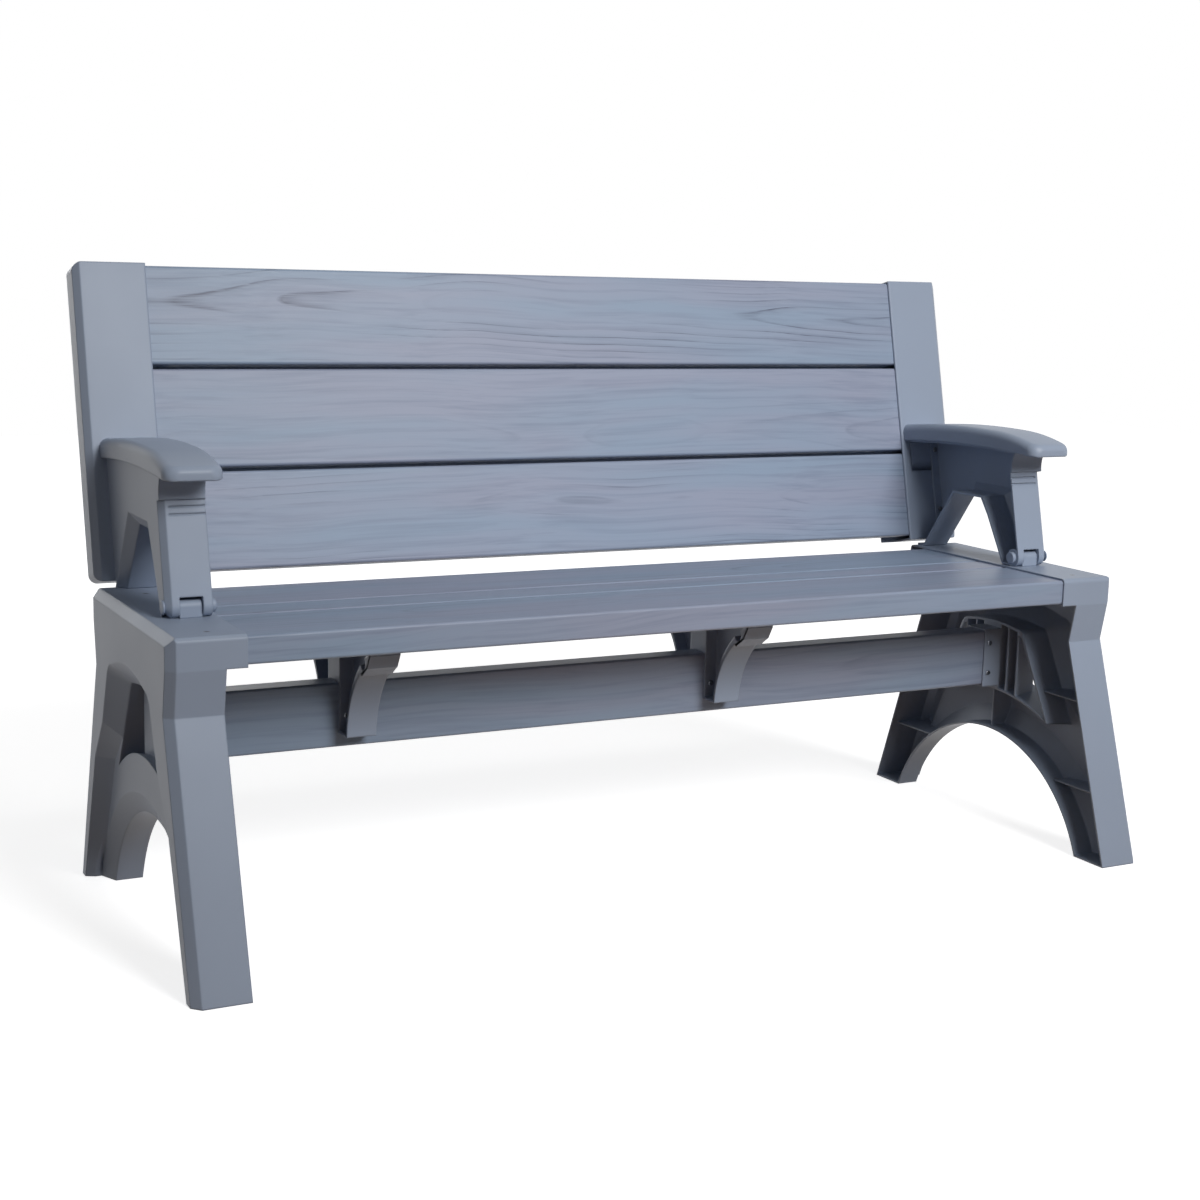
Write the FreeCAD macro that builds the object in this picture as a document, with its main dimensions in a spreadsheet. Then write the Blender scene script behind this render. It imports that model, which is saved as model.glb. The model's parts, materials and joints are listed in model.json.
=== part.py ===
import FreeCAD, Part
import math
import os
import Sketcher

# A garden bench whose back swings forward on two pins and becomes a table top.
# Millimetres. X runs along the bench, the sitter faces -Y, Z is up and the floor is Z = 0.
# The origin lies on the floor in the middle of the bench's overall box.

Vector = FreeCAD.Vector
doc = FreeCAD.newDocument("FoldingTableBench")
sheet = doc.addObject("Spreadsheet::Sheet", "Sizes")

SIZES = [
    ("bench_length", 1483, "over the outer faces of the two leg frames"),
    ("seat_height", 432, "top of the deck above the floor"),
    ("wall", 2.5, "moulded wall of the leg frames"),
    ("fit_gap", 0.2, "clearance of a board in its sleeve"),
    ("seat_gap", 0.1, "clearance between pieces that rest on each other"),
    ("end_gap", 0.5, "clearance behind the end of a board"),
    ("board_thickness", 36.6, "thickness of the seat and back boards"),
    ("wide_board", 139.7, "width of the wide boards"),
    ("narrow_board", 63.5, "width of the middle seat board"),
    ("board_shell", 3.2, "wall of a hollow board"),
    ("board_radius", 4, "rounding of a board's long edges"),
    ("seat_seam", 2.8, "gap between the seat boards"),
    ("frame_depth", 387, "deck of a leg frame from front to rear"),
    ("deck_width", 100.5, "deck of a leg frame along the bench"),
    ("deck_radius", 7, "rounding of the deck's front and rear top edges"),
    ("leg_width", 73.7, "legs along the bench"),
    ("sleeve_start", 22, "outer side of the end wall behind the seat boards"),
    ("corner_chamfer", 11.5, "chamfer round the outer side of a leg frame"),
    ("waist_height", 331, "height where a leg bends outwards"),
    ("waist_inset", 10.8, "setback of the leg there"),
    ("foot_spread", 98.5, "toe in front of the deck"),
    ("foot_length", 65, "foot from toe to arch"),
    ("arch_rise", 155, "top of the arch above the floor"),
    ("arch_flare", 28, "growth of the arch's radius towards the outer side"),
    ("arch_flare_depth", 13, "depth of that flare"),
    ("recess_depth", 22, "depth of the recessed bridge between the legs"),
    ("rim_foot", 28.5, "outer leg face at the floor"),
    ("rim_knee", 39.7, "outer leg face at the knee"),
    ("rim_knee_height", 196, "height of the knee, where the bridge begins"),
    ("rim_waist", 66, "outer leg face above the bridge"),
    ("rim_waist_height", 256, "height of that place"),
    ("rim_slant", 22.8, "lean of the recess's sides above that place in degrees"),
    ("rim_shoulder_height", 347, "height of the shoulders"),
    ("rim_top", 361, "top of the recess"),
    ("flare_foot", 11.5, "run of the recess flare at the floor"),
    ("flare_knee", 24, "run of the recess flare at the knee"),
    ("flare_wall", 4, "wall of the flare, measured level"),
    ("rim_radius", 30, "rounding of the recess's upper corners"),
    ("window_radius", 14, "rounding of the window's upper corners"),
    ("window_top", 330.5, "top of the window"),
    ("window_side_top", 325, "top of the window's sides"),
    ("window_top_half", 67, "half width of the window at its top"),
    ("window_slant", 29.8, "lean of the window's sides in degrees"),
    ("window_foot", 196, "lower corners of the window on the inner side"),
    ("window_foot_outer", 191.5, "lower corners of the window on the outer side"),
    ("hump_inner", 226, "top of the bridge on the inner side"),
    ("hump_outer", 237, "top of the bridge on the outer side"),
    ("web_setback", 16, "web between the windows, behind the bridge face"),
    ("rib_thickness", 2.5, "moulded ribs"),
    ("panel_half", 65.5, "half width of the ribbed middle of the window"),
    ("side_window_top", 318, "top of the windows beside the ribbed middle"),
    ("rib_step", 21.5, "spacing of the ribs beside the socket"),
    ("rib_setback", 12, "edge of the cross ribs behind the leg's inner edge"),
    ("upper_rib", 238, "height of the upper cross rib in a leg"),
    ("lower_rib", 103, "height of the lower cross rib in a leg"),
    ("stretcher_thickness", 38, "stretcher board from front to rear"),
    ("stretcher_height", 88.9, "stretcher board on edge"),
    ("stretcher_bottom", 232, "underside of the stretcher"),
    ("socket_reach", 105.5, "inner end of the stretcher socket"),
    ("pin_setback", 133, "hinge pin behind the deck's front face"),
    ("pin_rise", 14, "hinge pin above the deck"),
    ("pin_radius", 4, "hinge pin"),
    ("bore_gap", 0.06, "radial running clearance of the pin"),
    ("pin_head_radius", 9, "head of the hinge pin"),
    ("pin_head", 2.6, "thickness of the pin's head"),
    ("pin_cap", 5, "thickness of the cap on the pin's end"),
    ("ear_radius", 13.6, "ears at the foot of an arm"),
    ("knuckle_radius", 9, "knuckle of the hinge base"),
    ("slot_radius", 13.2, "room round the knuckle"),
    ("knuckle_start", 50, "outer end of the knuckle slot"),
    ("knuckle_width", 30, "width of the knuckle slot"),
    ("hinge_plate", 4, "foot plate of the hinge base"),
    ("hinge_plate_rear", 21, "foot plate behind the pin"),
    ("hinge_screw_rear", 16, "screws of the foot plate behind the pin"),
    ("run_gap", 0.4, "clearance between pieces that move past each other"),
    ("recline", 13.47, "lean of the back in degrees"),
    ("arm_reach", 246.2, "front face of the back boards behind the pin"),
    ("back_top", 492.6, "top of the back boards above the pin, along the back"),
    ("back_seam", 6.4, "gap between the back boards"),
    ("cap_start", 5, "outer face of a back cap from the bench's end"),
    ("cap_width", 101, "back cap along the bench"),
    ("cap_wall", 3.5, "moulded wall of a back cap"),
    ("cap_end", 8.5, "outer end wall of the cap, behind its chamfer"),
    ("cap_above", 2.6, "cap above the boards"),
    ("cap_below", 8, "cap below the boards"),
    ("cap_chamfer", 9, "chamfer on the cap's outer front edge"),
    ("cap_corner", 12, "rounding of the cap's outer upper corners"),
    ("cap_edge", 2.5, "rounding of the cap's other edges"),
    ("cap_lip", 30, "rear plate of the cap beyond its front"),
    ("arm_start", 32, "outer face of an arm from the bench's end"),
    ("arm_width", 60, "arm along the bench"),
    ("arm_wall", 3, "moulded wall of an arm"),
    ("arm_chamfer", 8, "chamfer on the arm's outer front edge"),
    ("arm_flange", 18, "rear flange of the arm"),
    ("ledge", 134, "ledge above the pin, along the arm's front"),
    ("ledge_step", 2.5, "ledge forward of the arm's front"),
    ("neck_flare", 15, "neck forward of the arm's front at the pad"),
    ("neck_height", 163, "top of the neck above the pin, along the back"),
    ("neck_radius", 45, "hollow of the neck"),
    ("groove_width", 2.5, "grooves below the ledge"),
    ("groove_depth", 1.5, "depth of the grooves"),
    ("groove_step", 10, "spacing of the grooves"),
    ("groove_inset", 12, "outer end of the grooves from the arm's outer face"),
    ("opening_front", 25, "arm opening at its front foot, behind the pin"),
    ("opening_knee", 69, "arm opening where its front side bends"),
    ("opening_knee_height", 59, "height of that bend above the pin"),
    ("opening_top_front", 88, "front upper corner of the arm opening"),
    ("opening_top_rear", 158, "rear upper corner of the arm opening"),
    ("opening_top", 85, "top of the arm opening above the pin"),
    ("opening_rear", 220, "arm opening at its rear foot"),
    ("opening_flare", 15, "growth of the arm opening towards the outer side"),
    ("opening_flare_depth", 12, "depth of that flare"),
    ("opening_radius", 10, "rounding of the arm opening's upper corners"),
    ("pad_start", 25, "outer side of an arm pad from the bench's end"),
    ("pad_width", 75, "arm pad along the bench"),
    ("pad_nose", 84, "nose of the pad in front of the pin"),
    ("pad_bottom", 159.5, "ends of the pad's underside above the pin"),
    ("pad_bottom_rise", 8.5, "crown of the underside"),
    ("pad_top", 185.5, "ends of the pad's top above the pin"),
    ("pad_top_rise", 11.5, "crown of the top"),
    ("pad_nose_radius", 17, "rounding of the nose seen from above"),
    ("pad_edge_radius", 10, "rounding of the pad's upper edges"),
    ("pad_lower_radius", 3, "rounding of the pad's lower edges"),
    ("bracket_left", 301, "middle of the left seat bracket from the bench's end"),
    ("bracket_right", 609, "middle of the right seat bracket from the other end"),
    ("bracket_width", 42, "seat bracket along the bench"),
    ("bracket_wall", 3.5, "walls of a seat bracket"),
    ("bracket_front", 136.6, "tip of the bracket from the middle of the stretcher"),
    ("bracket_tip", 13, "height of the tip"),
    ("bracket_foot", 51.6, "lower end of the bracket from the middle of the stretcher"),
    ("bracket_drop", 140.5, "height of the bracket"),
    ("bracket_curve", 136, "radius of the hollow of the bracket"),
    ("bracket_pocket_curve", 153.5, "radius of the pockets behind that hollow"),
    ("bracket_step", 101.6, "upper end of the hollow from the middle of the stretcher"),
    ("bracket_step_drop", 42, "that end below the seat boards"),
    ("bracket_heel", 106, "heel of the tip block from the middle of the stretcher"),
    ("bracket_heel_drop", 45, "heel below the seat boards"),
    ("bracket_chin", 126, "chin of the tip block from the middle of the stretcher"),
    ("bracket_chin_drop", 31, "chin below the seat boards"),
    ("bracket_hole", 9, "radius of the hole in the bracket's web"),
    ("bracket_hole_front", 110, "that hole from the middle of the stretcher"),
    ("bracket_hole_drop", 27, "that hole below the seat boards"),
    ("bracket_access", 7.5, "radius of the driver holes under the seat screws"),
    ("screw_radius", 2, "shank of the screws"),
    ("screw_head", 4, "head radius of the screws"),
    ("screw_head_height", 1.6, "head of the screws"),
    ("screw_length", 12, "shank of the screws"),
    ("screw_gap", 0.1, "radial clearance of the screws"),
    ("deck_screw_inset", 58, "deck screws from the bench's end"),
    ("deck_screw_setback", 31.5, "deck screws behind the deck's front face"),
    ("socket_screw_inset", 9.5, "socket screws from the socket's inner end"),
    ("socket_screw_edge", 20, "socket screws from the stretcher's edges"),
]


class Size:
    """A number together with the formula that gives it from the sheet."""

    def __init__(self, value, formula):
        self.value = value
        self.formula = formula

    def __add__(self, other):
        other = as_size(other)
        return Size(self.value + other.value, f"({self.formula} + {other.formula})")

    def __radd__(self, other):
        return as_size(other) + self

    def __sub__(self, other):
        other = as_size(other)
        return Size(self.value - other.value, f"({self.formula} - {other.formula})")

    def __rsub__(self, other):
        return as_size(other) - self

    def __mul__(self, other):
        other = as_size(other)
        return Size(self.value * other.value, f"({self.formula} * {other.formula})")

    def __rmul__(self, other):
        return as_size(other) * self

    def __truediv__(self, other):
        other = as_size(other)
        return Size(self.value / other.value, f"({self.formula} / {other.formula})")

    def __neg__(self):
        return Size(-self.value, f"(-{self.formula})")


def as_size(number):
    return number if isinstance(number, Size) else Size(float(number), repr(number))


def root(size):
    return Size(math.sqrt(size.value), f"sqrt({size.formula})")


def sine(angle):
    return Size(math.sin(math.radians(angle.value)), f"sin({angle.formula})")


def cosine(angle):
    return Size(math.cos(math.radians(angle.value)), f"cos({angle.formula})")


def tangent(angle):
    return Size(math.tan(math.radians(angle.value)), f"tan({angle.formula})")


class SheetSizes:
    """The driving dimensions, each one an attribute named as its cell."""

    def __init__(self, rows):
        for line, (name, value, meaning) in enumerate(rows, start=1):
            sheet.set(f"A{line}", name)
            sheet.set(f"B{line}", str(value))
            sheet.set(f"C{line}", meaning)
            sheet.setAlias(f"B{line}", name)
            setattr(self, name, Size(float(value), f"Sizes.{name}"))


S = SheetSizes(SIZES)
doc.recompute()


# Sketches and features

def bind(thing, path, size):
    thing.setExpression(path, as_size(size).formula)


def new_body(name):
    return doc.addObject("PartDesign::Body", name)


def new_sketch(body, name, plane="YZ_Plane", level=0, shift=0):
    """A sketch on one of the body's own planes, raised by level and moved up in its plane by shift."""
    sketch = body.newObject("Sketcher::SketchObject", name)
    support = [feature for feature in body.Origin.OriginFeatures if feature.Role == plane][0]
    sketch.AttachmentSupport = [(support, "")]
    sketch.MapMode = "FlatFace"
    bind(sketch, "AttachmentOffset.Base.z", level)
    bind(sketch, "AttachmentOffset.Base.y", shift)
    return sketch


def point_of(corner):
    return Vector(as_size(corner[0]).value, as_size(corner[1]).value, 0)


def arc_through(start, end, radius, left):
    """The shorter arc from start to end that bulges to the left or right of the way."""
    chord = end - start
    half = chord.Length / 2
    rise = radius - math.sqrt(max(radius * radius - half * half, 0))
    side = Vector(-chord.y, chord.x, 0) / chord.Length
    middle = (start + end) / 2 + side * (rise if left else -rise)
    return Part.ArcOfCircle(start, middle, end)


def draw(sketch, *corners):
    """A closed outline. A corner is (across, up), or (across, up, radius, side) where the edge
    that leaves it is an arc bulging to that side, left or right."""
    first = sketch.GeometryCount
    count = len(corners)
    ends = []
    for index, corner in enumerate(corners):
        start = point_of(corner)
        end = point_of(corners[(index + 1) % count])
        if len(corner) == 2:
            sketch.addGeometry(Part.LineSegment(start, end), False)
            ends.append((1, 2))
            continue
        radius, side = corner[2:]
        sketch.addGeometry(arc_through(start, end, as_size(radius).value, side == "left"), False)
        ends.append((2, 1) if side == "left" else (1, 2))
    for index in range(count):
        after = (index + 1) % count
        sketch.addConstraint(Sketcher.Constraint("Coincident", first + index, ends[index][1],
                                                 first + after, ends[after][0]))
    for index, corner in enumerate(corners):
        place(sketch, first + index, ends[index][0], corner)
        if len(corner) > 2:
            number = sketch.addConstraint(Sketcher.Constraint("Radius", first + index,
                                                              as_size(corner[2]).value))
            bind(sketch, f"Constraints[{number}]", corner[2])


def place(sketch, geometry, end, corner):
    """Ties a point of the sketch to its two coordinates."""
    for axis, kind, coordinate in ((-2, "DistanceX", corner[0]), (-1, "DistanceY", corner[1])):
        if not isinstance(coordinate, Size) and coordinate == 0:
            sketch.addConstraint(Sketcher.Constraint("PointOnObject", geometry, end, axis))
            continue
        size = as_size(coordinate)
        number = sketch.addConstraint(Sketcher.Constraint(kind, -1, 1, geometry, end, size.value))
        bind(sketch, f"Constraints[{number}]", size)


def draw_box(sketch, left, bottom, right, top):
    draw(sketch, (left, bottom), (right, bottom), (right, top), (left, top))


def draw_circle(sketch, across, up, radius):
    centre = Vector(as_size(across).value, as_size(up).value, 0)
    circle = Part.Circle(centre, Vector(0, 0, 1), as_size(radius).value)
    number = sketch.addGeometry(circle, False)
    place(sketch, number, 3, (across, up))
    index = sketch.addConstraint(Sketcher.Constraint("Radius", number, as_size(radius).value))
    bind(sketch, f"Constraints[{index}]", radius)


def volume(body):
    return body.Shape.Volume if body.Tip is not None and not body.Shape.isNull() else 0.0


def add_feature(body, kind, name, sketch, settings, sign):
    """Adds a sketched feature and makes sure that it adds or removes material."""
    doc.recompute()
    before = volume(body)
    feature = body.newObject("PartDesign::" + kind, name)
    feature.Profile = sketch
    for key, value in settings.items():
        if isinstance(value, Size):
            bind(feature, key, value)
        else:
            setattr(feature, key, value)
    doc.recompute()
    if (volume(body) - before) * sign <= 0:
        raise ValueError(f"{body.Name}.{name} changed nothing, {feature.State}")
    return feature


def pad(body, name, sketch, length, both_ways=False):
    settings = {"Length": as_size(length), "Midplane": both_ways}
    return add_feature(body, "Pad", name, sketch, settings, 1)


def pocket(body, name, sketch, depth, reverse=False, both_ways=False):
    settings = {"Length": as_size(depth), "Reversed": reverse, "Midplane": both_ways}
    return add_feature(body, "Pocket", name, sketch, settings, -1)


def cut_through(body, name, sketch):
    return add_feature(body, "Pocket", name, sketch, {"Type": "ThroughAll", "Midplane": True}, -1)


def loft(body, name, start, end, cut=False):
    kind = "SubtractiveLoft" if cut else "AdditiveLoft"
    settings = {"Sections": [end], "Ruled": True}
    return add_feature(body, kind, name, start, settings, -1 if cut else 1)


def spin(body, name, sketch, cut=False):
    """Turns a sketch once round its own level axis."""
    kind = "Groove" if cut else "Revolution"
    settings = {"ReferenceAxis": (sketch, ["H_Axis"]), "Angle": 360.0}
    return add_feature(body, kind, name, sketch, settings, -1 if cut else 1)


def middle_of(edge):
    return edge.valueAt((edge.FirstParameter + edge.LastParameter) / 2)


def edges_where(body, wanted):
    """Names of the body's edges whose middle point, and the edge itself, pass a test."""
    names = []
    for number, edge in enumerate(body.Tip.Shape.Edges, start=1):
        if wanted(middle_of(edge), edge):
            names.append(f"Edge{number}")
    return names


def runs_along(edge, axis):
    way = edge.tangentAt((edge.FirstParameter + edge.LastParameter) / 2)
    return abs(way.dot(axis)) > 0.999


def dress(body, kind, name, size, wanted):
    """A fillet or chamfer on the edges that pass the test."""
    names = edges_where(body, wanted)
    if not names:
        raise ValueError(f"{body.Name}.{name} found no edge")
    base = body.Tip
    feature = body.newObject("PartDesign::" + kind, name)
    feature.Base = (base, names)
    bind(feature, "Radius" if kind == "Fillet" else "Size", size)
    doc.recompute()
    if "Invalid" in feature.State or not feature.Shape.isValid():
        raise ValueError(f"{body.Name}.{name} failed on {len(names)} edges")
    return feature


def bore(body, name, plane, level, places, depth, reverse=False):
    """Round screw holes in a face of a body."""
    sketch = new_sketch(body, name + "Places", plane, level=level)
    for across, up in places:
        draw_circle(sketch, across, up, S.screw_radius + S.screw_gap)
    pocket(body, name, sketch, depth, reverse=reverse)


def hollow(body, name, wall, level):
    """Turns the block into a tray that is open at its flat face at the given level."""
    base = body.Tip
    faces = [f"Face{number}" for number, face in enumerate(base.Shape.Faces, start=1)
             if near(face.BoundBox.XMin, level.value) and near(face.BoundBox.XMax, level.value)]
    shell = body.newObject("PartDesign::Thickness", name)
    shell.Base = (base, faces)
    shell.Reversed = True
    shell.Join = 1
    bind(shell, "Value", wall)
    doc.recompute()
    if not 0 < shell.Shape.Volume < base.Shape.Volume / 2:
        raise ValueError(f"{body.Name}.{name} left the block solid")


def near(a, b):
    return abs(a - b) < 0.01


X_AXIS = Vector(1, 0, 0)
parts = {}


def seat(thing, name, across, along, up, turn=None):
    """Names a finished sub-part and puts it in its place on the bench."""
    thing.Label = name
    if turn is not None:
        thing.Placement = FreeCAD.Placement(Vector(), FreeCAD.Rotation(X_AXIS, turn.value))
        bind(thing, "Placement.Rotation.Angle", turn)
    bind(thing, "Placement.Base.x", across)
    bind(thing, "Placement.Base.y", along - middle)
    bind(thing, "Placement.Base.z", up)
    parts[name] = thing


def mirror(name, source):
    """The same sub-part at the right-hand end of the bench."""
    twin = doc.addObject("Part::Mirroring", name + "_mirror")
    twin.Source = source
    twin.Normal = X_AXIS
    twin.Label = name
    parts[name] = twin


# Places that several sub-parts share, measured from the middle of a leg frame

half_depth = S.frame_depth / 2
left_end = -S.bench_length / 2
deck_bottom = S.seat_height - S.board_thickness - 2 * (S.wall + S.fit_gap)
board_bottom = deck_bottom + S.wall + S.fit_gap
board_front = S.wall + S.fit_gap - half_depth
boards_depth = 2 * S.wide_board + S.narrow_board + 2 * S.seat_seam
toe = half_depth + S.foot_spread
arch_half = toe - S.foot_length
arch_radius = (arch_half * arch_half + S.arch_rise * S.arch_rise) / (2 * S.arch_rise)
arch_centre = S.arch_rise - arch_radius
pin_along = S.pin_setback - half_depth
pin_up = S.seat_height + S.pin_rise
hinge_screw_along = pin_along + S.hinge_screw_rear
hinge_screw_ends = (S.knuckle_start + S.knuckle_width / 4,
                    S.knuckle_start + S.knuckle_width * 3 / 4)
lean_sine = sine(S.recline)
lean_cosine = cosine(S.recline)
lean_tangent = tangent(S.recline)
cap_skin = S.cap_wall + S.fit_gap
back_rear = S.arm_reach + S.board_thickness + cap_skin


def leaning(height, forward):
    """A place measured along the leaning back from the pin: up the back, then forward of the pin."""
    return (height * lean_sine - forward * lean_cosine, height * lean_cosine + forward * lean_sine)


rear_extreme = pin_along + leaning(S.back_top + S.cap_above, -back_rear)[0]
middle = (rear_extreme - toe) / 2


# Leg frame: a moulded tray with its web on the outer side

def silhouette_at(height):
    """Half depth of the leg frame below its waist."""
    slope = (S.foot_spread + S.waist_inset) / S.waist_height
    return half_depth - S.waist_inset + (S.waist_height - height) * slope


def both_sides(points):
    """Closes an outline that is given from the left floor corner up to the middle."""
    mirrored = [(-point[0], point[1]) for point in reversed(points)]
    return points + mirrored


def rim(body, name, level, grown, deep):
    """The recess's outline at the outer face, or deep in it, optionally grown by the flare's wall."""
    knee = (-silhouette_at(S.rim_knee_height) + S.rim_knee, S.rim_knee_height)
    foot = -toe + S.rim_foot
    waist = (-silhouette_at(S.rim_waist_height) + S.rim_waist, S.rim_waist_height)
    top = S.rim_shoulder_height
    half = -waist[0] - (top - S.rim_waist_height) * tangent(S.rim_slant)
    slant = S.rim_slant
    radius = S.rim_radius
    rise = S.rim_top - top
    if deep:
        foot = foot + S.flare_foot
        knee = (knee[0] + S.flare_knee, knee[1])
        waist = (-window_half(S.hump_outer), S.hump_outer)
        top = S.window_side_top
        half = S.window_top_half
        slant = S.window_slant
        radius = S.window_radius
        rise = S.window_top - top
    shift = S.flare_wall if grown else as_size(0)
    side_half, side_top, top_half = shoulder(half + shift, top + shift, slant, radius)
    sketch = new_sketch(body, name, level=level)
    draw(sketch,
         (foot - shift, 0), (-foot + shift, 0),
         (-knee[0] + shift, knee[1]), (-waist[0] + shift, waist[1]),
         (side_half, side_top, radius, "right"),
         (top_half, top + shift, arc_radius(top_half, rise), "right"),
         (-top_half, top + shift, radius, "right"), (-side_half, side_top),
         (waist[0] - shift, waist[1]), (knee[0] - shift, knee[1]))
    return sketch


def shoulder(half, top, slant, radius):
    """Ends of the arc that rounds a corner between a leaning side and a level top."""
    run = radius * tangent(45 - slant / 2)
    return half + run * sine(slant), top - run * cosine(slant), half - run


def arc_radius(half, rise):
    return (half * half + rise * rise) / (2 * rise)


def window_half(height):
    """Half width of the window at a height."""
    return S.window_top_half + (S.window_side_top - height) * tangent(S.window_slant)


def window_levels(level):
    """Lower corner and hump of the window at a distance from the outer face."""
    share = (level - S.recess_depth) / (S.leg_width - S.recess_depth)
    foot = S.window_foot_outer + (S.window_foot - S.window_foot_outer) * share
    hump = S.hump_outer + (S.hump_inner - S.hump_outer) * share
    return foot, hump


def window_outline(body, name, level, grown=0):
    """The whole window, with a hollow bridge below and a slightly crowned top."""
    foot, hump = window_levels(level)
    side = as_size(grown) / cosine(S.window_slant)
    foot_half = window_half(foot) + side
    foot = foot - grown
    hump = hump - grown
    top = S.window_side_top + grown
    side_half, side_top, top_half = shoulder(S.window_top_half + side, top, S.window_slant,
                                             S.window_radius)
    crown = arc_radius(top_half, S.window_top - S.window_side_top)
    sketch = new_sketch(body, name, level=level)
    draw(sketch,
         (-foot_half, foot, arc_radius(foot_half, hump - foot), "left"), (foot_half, foot),
         (side_half, side_top, S.window_radius, "right"), (top_half, top, crown, "right"),
         (-top_half, top, S.window_radius, "right"), (-side_half, side_top))
    return sketch


def hump_at(level, across):
    """Height of the bridge's top, at a distance from the outer face, beside the middle."""
    foot, hump = window_levels(level)
    radius = arc_radius(window_half(foot), hump - foot)
    return hump - radius + root(radius * radius - across * across), radius


def crown_at(across):
    """Height of the window's top beside the middle."""
    top_half = shoulder(S.window_top_half, S.window_side_top, S.window_slant, S.window_radius)[2]
    radius = arc_radius(top_half, S.window_top - S.window_side_top)
    return S.window_top - radius + root(radius * radius - across * across), radius


def side_window(body, name, level, side):
    """The three-cornered opening between a leg and the ribbed middle, on one side."""
    foot, hump = window_levels(level)
    near_half = S.panel_half
    low, radius = hump_at(level, near_half)
    top = S.side_window_top
    sketch = new_sketch(body, name, level=level)
    corners = [(-window_half(foot), foot, radius, "left"), (-near_half, low),
               (-near_half, top), (-window_half(top), top)]
    if side > 0:
        corners = [(near_half, low, radius, "left"), (window_half(foot), foot),
                   (window_half(top), top), (near_half, top)]
    draw(sketch, *corners)
    return sketch


def cell(body, name, level, start, end):
    """A cell between two upright ribs."""
    low_start, low_radius = hump_at(level, start)
    low_end, _ = hump_at(level, end)
    top_start, top_radius = crown_at(start)
    top_end, _ = crown_at(end)
    sketch = new_sketch(body, name, level=level)
    draw(sketch,
         (start, low_start, low_radius, "left"), (end, low_end),
         (end, top_end, top_radius, "right"), (start, top_start))
    return sketch


socket_half = S.stretcher_thickness / 2 + S.fit_gap
stretcher_top = S.stretcher_bottom + S.stretcher_height
socket_screw_heights = (S.stretcher_bottom + S.socket_screw_edge,
                        stretcher_top - S.socket_screw_edge)
deck_screw_places = (S.deck_screw_setback - half_depth,
                     board_front + boards_depth - S.deck_screw_setback)


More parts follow.
